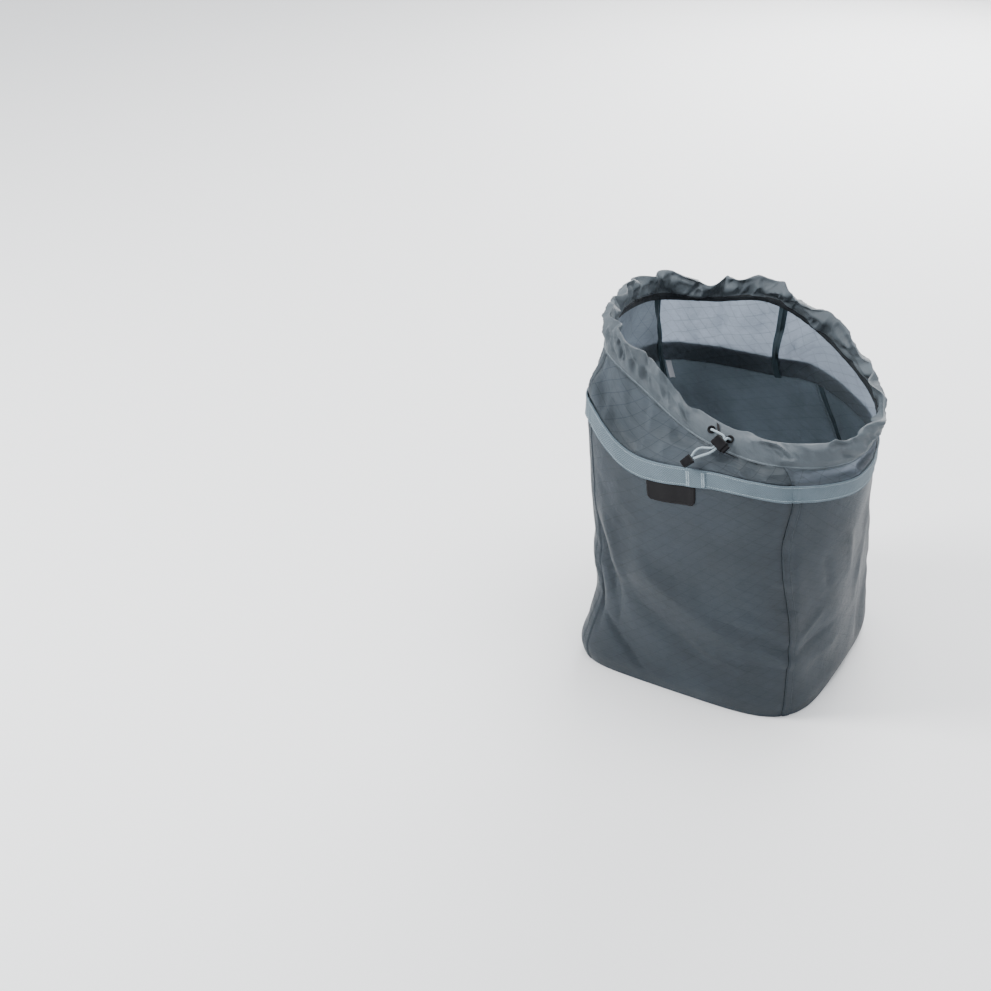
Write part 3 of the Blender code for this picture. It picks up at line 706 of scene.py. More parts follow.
def soften(moved, times=5):
    """Moves of the grid's points, averaged with their neighbours' to take out small ripples."""
    for _ in range(times):
        beside = 0.5 * (np.roll(moved, 1, axis=1) + np.roll(moved, -1, axis=1))
        moved = 0.5 * moved + 0.5 * beside
        inner = 0.5 * moved[1:-1] + 0.25 * (moved[:-2] + moved[2:])
        moved = np.concatenate([moved[:1], inner, moved[-1:]])
    return moved


def drape():
    """The shell as a grid of points, slackened by a cloth simulation that is held at the base,
    the rim, the casing's seam and, less firmly, the corner seams."""
    u = np.arange(DRAPE_COLUMNS) / DRAPE_COLUMNS
    grid_u, grid_w = np.meshgrid(u, LEVELS)
    smooth = nominal(grid_u, shell_v(grid_u, grid_w))
    cloth = add_object("drape", make_mesh("drape", smooth, band_quads(*grid_u.shape)))
    held = cloth.vertex_groups.new(name="held")
    seam = np.abs(round_gap(grid_u * 4, 0)) * PERIMETER / 4
    firm = 0.9 * bell(seam, 0.010)
    firm[(grid_w < 0.02) | (grid_w > 1.97) | (np.abs(grid_w - 0.97) < 0.035)] = 1
    for index, weight in enumerate(firm.ravel()):
        if weight > 0.02:
            held.add([index], float(weight), "REPLACE")
    modifier = cloth.modifiers.new("cloth", "CLOTH")
    settings = modifier.settings
    settings.quality = 6
    settings.mass = 0.12
    settings.tension_stiffness = 25
    settings.compression_stiffness = 12
    settings.shear_stiffness = 6
    settings.bending_stiffness = 0.25
    settings.air_damping = 2
    settings.shrink_min = -0.012
    settings.vertex_group_mass = "held"
    settings.pin_stiffness = 3
    settings.use_pressure = True
    settings.uniform_pressure_force = 0.25
    modifier.point_cache.frame_start = 1
    modifier.point_cache.frame_end = CLOTH_FRAMES
    scene = bpy.context.scene
    for step in range(1, CLOTH_FRAMES + 1):
        scene.frame_set(step)
    settled = cloth.evaluated_get(bpy.context.evaluated_depsgraph_get()).data
    flat = np.empty(smooth.size)
    settled.vertices.foreach_get("co", flat)
    moved = flat.reshape(smooth.shape) - smooth
    distance = np.linalg.norm(moved, axis=-1, keepdims=True)
    moved *= MOST_SLACK * np.tanh(distance / MOST_SLACK) / np.maximum(distance, 1e-9)
    moved = soften(moved * np.where(grid_w > 1, slackness(grid_u), 1)[..., None])
    bpy.data.objects.remove(cloth)
    scene.frame_set(1)
    return smooth + moved


def on_drape(u, w):
    """Points of the drape between its grid points, on a smooth surface through them."""
    u, w = matched(u, w)
    column = (u % 1) * DRAPE_COLUMNS
    row = np.interp(w, LEVELS, np.arange(len(LEVELS)))
    c, r = np.floor(column).astype(int), np.clip(np.floor(row).astype(int), 0, len(LEVELS) - 2)
    weights = []
    for t in (column - c, row - r):
        weights.append((-0.5 * t**3 + t**2 - 0.5 * t, 1.5 * t**3 - 2.5 * t**2 + 1,
                        -1.5 * t**3 + 2 * t**2 + 0.5 * t, 0.5 * t**3 - 0.5 * t**2))
    total = np.zeros(u.shape + (3,))
    for i in range(4):
        at_row = np.clip(r + i - 1, 0, len(LEVELS) - 1)
        for j in range(4):
            share = weights[1][i] * weights[0][j]
            total += share[..., None] * DRAPE[at_row, (c + j - 1) % DRAPE_COLUMNS]
    return total


def sideways(u, w):
    """Where the fabric at u is pulled to round the bag: the front right seam leans forwards."""
    lean = smooth_step(w, 0.30, 0.66) * (1 - smooth_step(w, 0.74, 0.93))
    return u - 0.0105 * lean * bell(round_gap(u, 0.25), 0.09)


def skin_normal(u, w):
    """The direction straight out of the drape, before folds."""
    u = sideways(u, w)
    small_u, small_w = 0.0012, 0.004
    across = on_drape(u + small_u, w) - on_drape(u - small_u, w)
    up = on_drape(u, np.minimum(w + small_w, 2)) - on_drape(u, np.maximum(w - small_w, 0))
    return unit(np.cross(across, up))


def skin(u, w, depth):
    """Points of the draped and folded fabric, depth metres outwards from its outer face."""
    u, w, depth = matched(u, w, depth)
    out = relief(u, w) + depth
    points = on_drape(sideways(u, w), w) + out[..., None] * skin_normal(u, w)
    points[..., 2] = np.maximum(points[..., 2], 0.0)
    return points


def below_rim(down):
    """The w of a place so many metres below the rim."""
    return 1 - down / BODY_HEIGHT


# ---- mesh building ------------------------------------------------------------------------

def finish_piece(name, mesh, material, nodes=(), body="bag", sharp=50):
    """Adds a piece, gives it its material, hides the CAD parts it stands for and attaches it to
    the body it rides on.
    """
    piece = add_object(name, mesh)
    mesh.materials.append(MATERIALS[material])
    mesh.shade_smooth()
    mesh.set_sharp_from_angle(angle=math.radians(sharp))
    if nodes:
        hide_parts(*nodes)
    if body:
        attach(piece, body)
    return piece


def add_uv(mesh, uv_of_vertex, wrap_width=None):
    """A UV map in metres, one pair for each vertex, mended where it runs over a wrap."""
    loops = np.empty(len(mesh.loops), int)
    mesh.loops.foreach_get("vertex_index", loops)
    uv = np.asarray(uv_of_vertex)[loops]
    if wrap_width:
        starts = np.empty(len(mesh.polygons), int)
        totals = np.empty(len(mesh.polygons), int)
        mesh.polygons.foreach_get("loop_start", starts)
        mesh.polygons.foreach_get("loop_total", totals)
        face = np.repeat(np.arange(len(starts)), totals)
        highest = np.maximum.reduceat(uv[:, 0], starts)[face]
        uv[:, 0] += wrap_width * (highest - uv[:, 0] > wrap_width / 2)
    layer = mesh.uv_layers.new(name="metres")
    layer.data.foreach_set("uv", uv.astype(np.float32).ravel())


def slab_mesh(name, outer, inner, uv, wrap=None, keep=None):
    """A closed sheet between two grids of points. wrap is its length in metres where its
    columns run right round; keep marks the cells that it has."""
    rows, columns = outer.shape[:2]
    spans = columns if wrap else columns - 1
    front = np.arange(rows * columns).reshape(rows, columns)
    back = front + rows * columns
    keep = np.ones((rows - 1, spans), bool) if keep is None else keep
    ahead = (np.arange(spans) + 1) % columns
    here = np.arange(spans)
    cells = {"a": (slice(0, -1), here), "b": (slice(0, -1), ahead),
             "c": (slice(1, None), ahead), "d": (slice(1, None), here)}
    f = {k: front[s][:, i] for k, (s, i) in cells.items()}
    b = {k: back[s][:, i] for k, (s, i) in cells.items()}
    quads = [np.stack([f[k][keep] for k in "abcd"], -1), np.stack([b[k][keep] for k in "dcba"], -1)]
    padded = np.zeros((rows + 1, spans + 2), bool)
    padded[1:-1, 1:-1] = keep
    if wrap:
        padded[1:-1, 0], padded[1:-1, -1] = keep[:, -1], keep[:, 0]
    borders = (("a", "b", padded[:-2, 1:-1]), ("b", "c", padded[1:-1, 2:]),
               ("c", "d", padded[2:, 1:-1]), ("d", "a", padded[1:-1, :-2]))
    for start, end, neighbour in borders:
        edge = keep & ~neighbour
        quads.append(np.stack([f[end][edge], f[start][edge], b[start][edge], b[end][edge]], -1))
    faces = np.concatenate(quads)
    points = np.concatenate([outer.reshape(-1, 3), inner.reshape(-1, 3)])
    used, faces = np.unique(faces, return_inverse=True)
    uv = np.concatenate([uv.reshape(-1, 2)] * 2)
    mesh = make_mesh(name, points[used], faces.reshape(-1, 4).tolist())
    add_uv(mesh, uv[used], wrap)
    return mesh


def flat_uv(u, w):
    """The place of a point of the fabric on the flat cloth, in metres."""
    u, w = matched(u, w)
    high = collar_length(u) - CASING_HEIGHT
    up = np.where(w <= 1, w * BODY_HEIGHT, BODY_HEIGHT + (w - 1) * high)
    return pairs(u * PERIMETER, up)


def add_layer(name, u, w, outer, inner, material, nodes=(), uv=None, wrap=None):
    """A fabric piece over a grid of u and w, between two depths, which may vary."""
    u, w, outer, inner = matched(u, w, outer, inner)
    uv = flat_uv(u, w) if uv is None else uv
    mesh = slab_mesh(name, skin(u, w, outer), skin(u, w, inner), uv, wrap)
    return finish_piece(name, mesh, material, nodes)


def tube_mesh(name, points, radius, sides):
    """A round tube along points, closed at both ends, with its UV in metres."""
    points = np.asarray(points, float)
    along = unit(np.gradient(points, axis=0))
    side = np.zeros_like(points)
    side[0] = unit(np.cross(along[0], (0.3, 0.2, 0.93)))
    for i in range(1, len(points)):
        side[i] = unit(side[i - 1] - np.dot(side[i - 1], along[i]) * along[i])
    other = np.cross(along, side)
    angle = np.arange(sides) / sides * 2 * math.pi
    radius = np.broadcast_to(radius, (len(points),))[:, None, None]
    grid = points[:, None] + radius * (np.cos(angle)[None, :, None] * side[:, None]
                                       + np.sin(angle)[None, :, None] * other[:, None])
    last = (len(points) - 1) * sides
    caps = [list(range(sides))[::-1], list(range(last, last + sides))]
    girth = 2 * math.pi * float(radius.max())
    uv = pairs(angle[None] / (2 * math.pi) * girth, run_along(points)[:, None])
    mesh = make_mesh(name, grid, band_quads(len(points), sides) + caps)
    add_uv(mesh, uv.reshape(-1, 2), girth)
    return mesh


def run_along(points):
    """The distance of each point along a line from its first."""
    return np.concatenate([[0], np.cumsum(np.linalg.norm(np.diff(points, axis=0), axis=1))])


def read_along(at, run, values):
    """Values in three columns, given at the distances in run, read at other distances."""
    return np.stack([np.interp(at, run, values[:, k]) for k in range(3)], -1)


def open_curve(points, count):
    """Points spaced evenly along a smooth open curve through the given points."""
    points = np.asarray([list(p) for p in points], float)
    padded = np.vstack([2 * points[0] - points[1], points, 2 * points[-1] - points[-2]])
    fine = []
    for a, b, c, d in zip(padded, padded[1:], padded[2:], padded[3:]):
        t = np.linspace(0, 1, 40, endpoint=False)[:, None]
        fine.append(curve_between(a, b, c, d, t))
    fine = np.vstack(fine + [points[-1:]])
    run = run_along(fine)
    return read_along(np.linspace(0, run[-1], count), run, fine)


def add_stitches(name, lines, material, pitch=0.0030, length=0.0023, radius=0.00022,
                 slant=0.0):
    """Rows of sewn stitches. Each line is (points, outward normals) along a seam."""
    stations = np.array([-0.5, -0.32, 0.0, 0.32, 0.5])
    lift = np.array([-0.9, 0.3, 0.75, 0.3, -0.9])
    angle = np.arange(6) / 6 * 2 * math.pi
    blocks = []
    for points, normals in lines:
        run = run_along(points)
        at = np.arange(pitch / 2, run[-1] - length / 2, pitch)
        centre = read_along(at, run, points)
        ahead = read_along(at + length / 2, run, points)
        normal = unit(read_along(at, run, normals))
        along = unit(ahead - centre)
        side = unit(np.cross(normal, along))
        turn = slant * np.where(np.arange(len(at)) % 2, 1, -1)[:, None]
        along = unit(along + turn * side)
        side = np.cross(normal, along)
        spine = (centre[:, None] + stations[None, :, None] * length * along[:, None]
                 + lift[None, :, None] * radius * normal[:, None])
        block = (spine[:, :, None] + radius * (np.cos(angle)[:, None] * normal[:, None, None]
                                               + np.sin(angle)[:, None] * side[:, None, None]))
        blocks.append(block)
    rings_made = np.concatenate(blocks)
    count = len(rings_made)
    number = np.arange(count * 30).reshape(count, 5, 6)
    ahead = np.roll(number, -1, axis=2)
    quads = np.stack([number[:, :-1], number[:, 1:], ahead[:, 1:], ahead[:, :-1]], -1).reshape(-1, 4)
    caps = np.concatenate([number[:, 0], number[:, -1, ::-1]])
    mesh = make_mesh(name, rings_made, quads.tolist() + caps.tolist())
    return finish_piece(name, mesh, material, sharp=80)


def row_line(u, w, depth):
    """A line over the fabric with its outward directions, for stitches."""
    u, w = matched(u, w)
    return skin(u, w, depth), skin_normal(u, w)


# ---- fabric pieces ------------------------------------------------------------------------

SIDES = ["front", "right", "back", "left"]
CORNERS = ["front_left", "front_right", "back_right", "back_left"]


def panel_columns(seams, side, spans=78):
    """A panel's columns, closer together beside its seams."""
    width = ((seams + [1.0])[side + 1] - seams[side]) * PERIMETER
    near = np.array([SEAM_INSET, 0.0009, 0.0018, 0.0030, 0.0045, 0.0065, 0.0085, 0.0106])
    band = np.array([SEAM_INSET, 0.0009, 0.0018, 0.0030, 0.0050, 0.0075, 0.0100, 0.0110, 0.0120,
                     0.0135])
    middle = np.linspace(0.0165, width - 0.0140, spans)
    return seams[side] + np.concatenate([band, middle, width - near[::-1]]) / PERIMETER


ROUND = np.arange(420) / 420
BODY_LOW = 0.0006
BODY_ROWS = np.concatenate([
    np.array([BODY_LOW, 0.0022, 0.0045, 0.0075]), np.linspace(0.011, 0.36, 88),
    np.linspace(0.3635, BODY_HEIGHT, 8)]) / BODY_HEIGHT
SEAM_DOWN = 0.0295


def add_body_panels():
    for side, name in enumerate(SIDES):
        piece = add_layer(f"{name}_body_panel", panel_columns(BODY_SEAMS, side), BODY_ROWS[:, None],
                          0.0, -BODY_THICKNESS, f"body_{name}", [f"body_{name}_panel"])


def add_collar_panels():
    rows = np.concatenate([np.linspace(below_rim(SEAM_DOWN), 1, 9)[:-1], np.linspace(1, 2, 34)])
    for side, name in enumerate(SIDES):
        columns = panel_columns(COLLAR_SEAMS, side)
        piece = add_layer(f"{name}_collar_panel", columns, rows[:, None], COLLAR_DEPTH,
                          COLLAR_DEPTH - COLLAR_THICKNESS, f"collar_{name}",
                          [f"collar_{name}_panel"])


def add_seam_tapes():
    """Folded tapes that bind the corner seams inside, a little fuller along the middle."""
    across = np.linspace(-1, 1, 9)
    columns = across * TAPE_WIDTH / 2 / PERIMETER
    swell = 0.0005 * np.clip(1 - across**4, 0, 1)
    body_rows = np.linspace(0.005, BODY_HEIGHT - SEAM_DOWN - 0.0004, 80) / BODY_HEIGHT
    collar_rows = np.concatenate([np.linspace(below_rim(SEAM_DOWN + 0.0025), 1, 9)[:-1],
                                  np.linspace(1, 1.97, 30)])
    for corner, name in enumerate(CORNERS):
        for part, seams, rows, depth in (("body", BODY_SEAMS, body_rows, BODY_TAPE_DEPTH),
                                         ("collar", COLLAR_SEAMS, collar_rows, COLLAR_TAPE_DEPTH)):
            u, w = np.meshgrid(columns, rows)
            u = seams[corner] + u * (1 + 0.28 * smooth_step(w, 0.95, 1.6))
            add_layer(f"{name}_{part}_tape", u, w, depth, depth - TAPE_THICKNESS - swell, "tape",
                      [f"{part}_tape_{name}"])


def add_base():
    """The base: flat on the floor underneath, and slack and slightly creased on top."""
    edge = skin(ROUND, BODY_LOW / BODY_HEIGHT, -BODY_THICKNESS - GAP)
    edge[:, 2] = 0
    shares = np.concatenate([np.linspace(0.02, 0.94, 46), [0.97, 0.985, 1.0]])
    under = edge[None] * shares[:, None, None]
    over = under.copy()
    x, y = under[..., 0], under[..., 1]
    waves = noise(x * 22, y * 22 + 20, 64, 51) + 0.5 * noise(x * 55, y * 55 + 30, 64, 52)
    over[..., 2] = 0.0016 + 0.0011 * (waves + 1.6) * smooth_step(1 - shares, 0.0, 0.12)[:, None]
    name = "base_sheet"
    mesh = slab_mesh(name, under[::-1], over[::-1], under[::-1, :, :2].copy(), wrap=PERIMETER)
    # The grid leaves a small hole in the middle: its wall goes and both faces are filled.
    bm = bmesh.new()
    bm.from_mesh(mesh)
    middle = [f for f in bm.faces if all(np.hypot(*v.co.xy) < 0.006 for v in f.verts)]
    wall = [f for f in middle if abs(f.normal.z) < 0.5]
    bmesh.ops.delete(bm, geom=wall, context="FACES")
    rims = [e for e in bm.edges if e.is_boundary]
    bmesh.ops.holes_fill(bm, edges=rims, sides=len(ROUND) + 1)
    bmesh.ops.recalc_face_normals(bm, faces=bm.faces)
    bm.to_mesh(mesh)
    bm.free()
    piece = finish_piece(name, mesh, "base", ["base_panel"])


def add_base_binding():
    """The tape inside the base's seam, puckered by its stitching."""
    inset = np.array([0.0004, 0.0016, 0.0035, 0.0055, 0.0078, 0.0096, 0.0102])
    lift = np.array([0.0026, 0.0041, 0.0046, 0.0044, 0.0040, 0.0033, 0.0028])
    outline = skin(ROUND, 0.008, -BODY_THICKNESS - GAP)
    outline[:, 2] = 0
    inward = 1 - inset / 0.17
    top = outline[None] * inward[:, None, None]
    bottom = top.copy()
    pucker = 0.0004 * noise_round(210, ROUND, 0, 53)
    top[..., 2] = lift[:, None] + pucker
    bottom[..., 2] = 0.0019
    uv = pairs(ROUND[None] * PERIMETER, inset[:, None])
    mesh = slab_mesh("base_seam_binding", bottom, top, uv, wrap=PERIMETER)
    finish_piece("base_seam_binding", mesh, "tape", ["base_binding"])


def webbing_depth(across):
    """The webbing's outer face: flat, with a rounded ridge woven along each edge."""
    from_edge = np.minimum(across, WEBBING_WIDTH - across)
    ridge = 0.00045 * bell(from_edge - 0.0016, 0.0011)
    rounding = -0.0006 * (1 - smooth_step(from_edge, 0, 0.0009))
    return GAP + WEBBING_THICKNESS + ridge + rounding


def webbing_stand(u):
    """How far the webbing stands off the fabric: it bows out a little by the front left corner."""
    bow = 0.0012 * bell(round_gap(u, 0.985), 0.022) + 0.0004
    return bow + 0.0002 * noise_round(30, u, 0, 61)


def add_webbing():
    across = np.array([0, 0.0004, 0.0009, 0.0014, 0.0020, 0.0027, 0.0040, 0.0070, 0.0100, 0.0125])
    across = np.concatenate([across, WEBBING_WIDTH - across[-2::-1]])
    u, down = np.meshgrid(ROUND, across[::-1])
    stand = webbing_stand(u)
    uv = pairs(u * PERIMETER, WEBBING_WIDTH - down)
    add_layer("webbing_band", u, below_rim(down), webbing_depth(down) + stand, GAP + stand,
              "webbing", ["rim_webbing"], uv, PERIMETER)


# Where the webbing's ends lap, as the u of the middle, and how far the lap stands proud.
LAP_U = 0.1490
LAP_LIFT = 0.0014


def add_webbing_lap():
    """The webbing's end, lapped over its beginning, with both cut edges rounded off."""
    flank = [0.0093, 0.0097]
    across = np.array([-flank[1], -flank[0], *np.linspace(-0.0087, 0.0087, 16), *flank])
    u, down = np.meshgrid(LAP_U + across, np.linspace(WEBBING_WIDTH - 0.001, 0.0010, 16))
    face = webbing_depth(down) + webbing_stand(u)
    ends = 0.0011 * smooth_step(np.abs(u - LAP_U), 0.0091, flank[1])
    uv = pairs(u * PERIMETER + 0.0008, WEBBING_WIDTH - down)
    add_layer("webbing_lap", u, below_rim(down), face + LAP_LIFT - ends, face + 0.0001, "webbing",
              uv=uv)


def add_rim_stitches():
    """Two rows along the webbing, two bar tacks at each end of its lap and a row inside."""
    closed = np.append(ROUND, 1.0)
    lines = []
    for down in (0.0034, WEBBING_WIDTH - 0.0034):
        depth = webbing_depth(np.full(closed.shape, down)) + webbing_stand(closed)
        lines.append(row_line(closed, below_rim(down), depth))
    add_stitches("webbing_stitches", lines, "light_thread")
    tacks = []
    down = np.linspace(WEBBING_WIDTH - 0.0025, 0.0025, 12)
    for off in (-0.0081, -0.0063, 0.0063, 0.0081):
        column = np.full(down.shape, LAP_U + off)
        face = webbing_depth(down) + webbing_stand(column) + LAP_LIFT
        tacks.append(row_line(column, below_rim(down), face))
    add_stitches("webbing_bar_tacks", tacks, "light_thread", pitch=0.0009, length=0.0022,
                 radius=0.0002, slant=2.2)
    points, normals = row_line(closed, below_rim(SEAM_DOWN - 0.0015), COLLAR_DEPTH - COLLAR_THICKNESS)
    add_stitches("rim_seam_stitches", [(points, -normals)], "dark_thread")


def add_seam_stitches():
    """Two rows along the flat band beside each corner seam, and one round the base."""
    w = np.linspace(0.006, below_rim(0.0262), 200)
    lines = []
    for seam in BODY_SEAMS:
        for off in (0.0022, BAND_WIDTH - 0.0020):
            lines.append(row_line(seam + off / PERIMETER, w, 0.0))
    add_stitches("corner_seam_stitches", lines, "body_thread", pitch=0.0028, length=0.0021)
    closed = np.append(ROUND, 1.0)
    add_stitches("base_seam_stitches", [row_line(closed, 0.0042 / BODY_HEIGHT, 0.0)], "body_thread")


# ---- casing -------------------------------------------------------------------------------

CASING_BULGE = 0.0047
CASING_COLUMNS = np.arange(640) / 640
# The casing's cloth is cut away this far round the middle of each eyelet.
EYELET_CUT = 0.0038
# The casing's folded section, from its outer hem over the top to its inner hem: (down, out).
CASING_SECTION = [
    (0.0390, 0.0011), (0.0362, 0.0011), (0.0300, 0.0030), (0.0200, CASING_BULGE), (0.0100, 0.0043),
    (0.0030, 0.0025), (0.0, 0.0), (0.0030, -0.0025), (0.0100, -0.0043), (0.0200, -CASING_BULGE),
    (0.0300, -0.0030), (0.0362, -0.0011), (0.0390, -0.0011),
]


def near_hardware(u):
    """1 at the eyelets and the cord lock, falling to 0 a few centimetres to either side."""
    middle = 0.5 * (EYELET_U[0] + EYELET_U[1])
    return 1 - smooth_step(np.abs(round_gap(u, middle)), 0.019, 0.048)


def casing_points(u, down, out):
    """Points of the gathered casing: so far down from its top and out from its middle."""
    u, down, out = matched(u, down, out)
    free = 1 - near_hardware(u)
    height = 1 - np.clip(down / CASING_HEIGHT, 0, 1)
    loose = smooth_step(height, 0.06, 0.45)
    lean = u + 0.0035 * noise_round(44, u, height * 2, 71)
    folds = noise_round(38, lean, height * 0.8 + 2, 72)
    ridges = ridged(noise_round(46, lean, height * 1.6, 73, 0.9 * height))
    fine = ridged(noise_round(118, lean, height * 2.2 + 5, 74, 1.6 * height))
    puff = noise_round(84, lean, height * 1.6 + 9, 75)
    side = np.sign(out)
    from_cord = np.abs(height - 1 + EYELET_DOWN / CASING_HEIGHT)
    free_of_cord = 0.35 + 0.65 * smooth_step(from_cord, 0.06, 0.36)
    shift = free * loose * free_of_cord * (0.0060 * folds + 0.0046 * ridges)
    puffed = np.maximum(0.0016 * fine + 0.0014 * puff, -0.0021) * np.abs(out) / CASING_BULGE
    shift = shift + free * loose * puffed * side
    pinch = free * (1 - loose) * 0.0003 * noise_round(230, u, height * 3, 76)
    sag = free * height * (0.0052 * noise_round(22, u, 5, 77)
                           - 0.0022 * ridged(noise_round(34, u, 9, 78)))
    v = np.minimum(collar_v(u, down + sag), 2.0)
    over = np.maximum(-(down + sag), 0)
    points = nominal_out(u, v, CASING_MIDDLE + out + shift + pinch)
    points[..., 2] += over
    return points


def casing_section(count):
    """The casing's section as evenly spaced points (down, out), and its outward directions."""
    section = open_curve([(d, o, 0) for d, o in CASING_SECTION], count)[:, :2]
    along = np.gradient(section, axis=0)
    return section, unit(np.column_stack([along[:, 1], -along[:, 0]]))


def add_casing():
    """The gathered casing: a folded cloth whose section runs right round the mouth."""
    section, outward = casing_section(46)
    half = CASING_THICKNESS / 2
    grids = []
    for lift in (half, -half):
        moved = section + lift * outward
        u, down = np.meshgrid(CASING_COLUMNS, moved[:, 0])
        grids.append(casing_points(u, down, moved[:, 1][:, None]))
    run = np.concatenate([[0], np.cumsum(np.hypot(*np.diff(section, axis=0).T))])
    uv = pairs(CASING_COLUMNS[None] * PERIMETER, run[:, None])
    outer, inner = grids
    ahead = np.roll(outer, -1, 1)
    middle = 0.25 * (outer[:-1] + outer[1:] + ahead[:-1] + ahead[1:])
    keep = np.ones(middle.shape[:2], bool)
    for name in ("eyelet_left", "eyelet_right"):
        low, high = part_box(name)
        centre = 0.5 * (np.array(low) + np.array(high))
        keep &= np.linalg.norm(middle - centre, axis=-1) > EYELET_CUT
    mesh = slab_mesh("gathered_casing", outer, inner, uv, wrap=PERIMETER, keep=keep)
    piece = finish_piece("gathered_casing", mesh, "casing", ["drawcord_casing"],
                         sharp=70)


def casing_line(u, down, side, lift):
    """A line along one wall of the casing, with its outward directions."""
    section = np.array(CASING_SECTION)
    wall = section[:7][::-1] if side > 0 else section[6:]
    out = np.interp(down, wall[:, 0], wall[:, 1])
    points = casing_points(u, np.full(u.shape, down), out + side * lift)
    near = casing_points(u, np.full(u.shape, down), out + side * (lift + 0.001))
    return points, unit(near - points)


def add_hem_tape():
    """The dark overlocked edge along the casing's inner hem."""
    downs = np.array([0.0400, 0.0396, 0.0385, 0.0365, 0.0345, 0.0325, 0.0306, 0.0300])
    lift = 0.0004
    thickness = 0.0004 + 0.0005 * np.array([0.1, 0.8, 1, 1, 1, 1, 0.8, 0.1])
    inner, outer = (
        np.stack([casing_line(CASING_COLUMNS, down, -1, lift + more)[0]
                  for down, more in zip(downs, extra)])
        for extra in (0 * thickness, thickness))
    uv = pairs(CASING_COLUMNS[None] * PERIMETER, downs[:, None])
    mesh = slab_mesh("casing_hem_tape", inner, outer, uv, wrap=PERIMETER)
    finish_piece("casing_hem_tape", mesh, "hem")


def add_casing_stitches():
    u = np.append(np.arange(900) / 900, 1.0)
    add_stitches("casing_stitches", [casing_line(u, 0.0368, 1, 0.0003)], "casing_thread",
                 pitch=0.0028, length=0.0024, radius=0.00028)
    inside = [casing_line(u, down, -1, 0.0010) for down in (0.0330, 0.0372)]
    add_stitches("casing_overlock", inside, "dark_thread", pitch=0.0017, length=0.0030,
                 radius=0.00028, slant=1.1)


# ---- patch and label ----------------------------------------------------------------------

PATCH_U = 0.124
LABEL_U = 0.737
LABEL_HALF_WIDTH = 0.007
LABEL_LENGTH = 0.027
LABEL_THICKNESS = 0.0004


def add_patch():
    """A blank rubber patch with round lower corners and a raised border. The webbing covers its
    top 4 mm."""
    width, height, radius, thickness, covered = 0.060, 0.029, 0.006, 0.0014, 0.004
    across, up = np.linspace(-1, 1, 61), np.linspace(1, 0, 27)
    from_side = np.clip((np.abs(across) * width / 2 - width / 2 + radius) / radius, 0, 1)
    rounding = radius * (1 - np.sqrt(1 - from_side**2))
    u = PATCH_U + across * width / 2 / PERIMETER
    down = WEBBING_WIDTH - covered + up[:, None] * (height + covered - rounding[None])
    to_edge = np.minimum(width / 2 * (1 - np.abs(across))[None],
                         WEBBING_WIDTH + height - rounding[None] - down)
    to_edge = np.clip(to_edge, 0, 1)
    rounded = -0.0007 * (1 - np.sqrt(np.clip(1 - (1 - np.clip(to_edge / 0.0009, 0, 1)) ** 2, 0, 1)))
    border = 0.00035 * bell(to_edge - 0.0022, 0.0006)
    under_band = -0.0011 * smooth_step(-down, -WEBBING_WIDTH - 0.0006, -WEBBING_WIDTH + 0.0006)
    add_layer("rubber_patch", u[None], below_rim(down),
              GAP + thickness + rounded + border + under_band, GAP,
              "rubber", ["front_patch"])


def add_label():
    """A blank satin label hanging inside, with a slight curl."""
    across, fall = np.linspace(-1, 1, 13), np.linspace(1, 0, 19)
    u = LABEL_U + across * LABEL_HALF_WIDTH / PERIMETER
    down = SEAM_DOWN + 0.001 + fall * LABEL_LENGTH
    curl = 0.0012 * across[None] ** 2 * fall[:, None] + 0.0035 * fall[:, None] ** 2
    depth = BODY_TAPE_DEPTH - 0.0010 - curl
    add_layer("satin_label", u[None], below_rim(down)[:, None], depth, depth - LABEL_THICKNESS,
              "label", ["care_label"])


# ---- cord, eyelets and cord lock ----------------------------------------------------------

LOCK_U = 0.1800
LOCK_DOWN = 0.032
LOCK_LENGTH = 0.018
LOCK_WIDTH = 0.014
LOCK_HEIGHT = 0.0085
LOCK_WALL = 0.0013
CORD_SPACING = 0.0038


def frame_at(u, down, out, above=0.002, below=0.002):
    """A matrix at a point of the casing: X along the casing, Y up it, Z straight out."""
    def place(at_u, at_down):
        return nominal_out(np.array([at_u]), collar_v(np.array([at_u]), at_down),
                           np.array([CASING_MIDDLE + out]))[0]
    x = Vector(place(u + 0.002, down) - place(u - 0.002, down)).normalized()
    z = x.cross(Vector(place(u, down - above) - place(u, down + below))).normalized()
    matrix = Matrix((x, z.cross(x), z)).transposed().to_4x4()
    matrix.translation = Vector(place(u, down))
    return matrix


def lock_frame():
    """The matrix of the cord lock's body: X along its button, tilted in the casing's plane."""
    out = CASING_BULGE + 0.0030 + LOCK_HEIGHT / 2
    matrix = frame_at(LOCK_U, LOCK_DOWN, out, above=0.020, below=0.026)
    return matrix @ Matrix.Rotation(math.radians(-18), 4, "Z")


def add_tails():
    """The two tails of the draw cord, from the cord lock down into the cord end."""
    start = -0.0004
    routes = {
        "left": [(-CORD_SPACING / 2, start, 0), (-CORD_SPACING / 2, -LOCK_WIDTH / 2 - 0.003, 0),
                 (-0.0115, -0.020, 0.0004), (-0.0140, -0.028, 0.0), (-0.0125, -0.036, -0.0010)],
        "right": [(CORD_SPACING / 2, start, 0), (CORD_SPACING / 2, -LOCK_WIDTH / 2 - 0.003, 0),
                  (0.0005, -0.018, 0.0010), (-0.0040, -0.027, 0.0008), (-0.0085, -0.036, -0.0010)],
    }
    lock = lock_frame()
    for side, route in routes.items():
        path = open_curve([lock @ Vector(p) for p in route], 60)
        mesh = tube_mesh(f"tail_{side}", path, CORD_DIAMETER / 2, 16)
        piece = finish_piece(f"tail_{side}", mesh, "cord", [f"cord_tail_{side}"], body=None)
        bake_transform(piece)


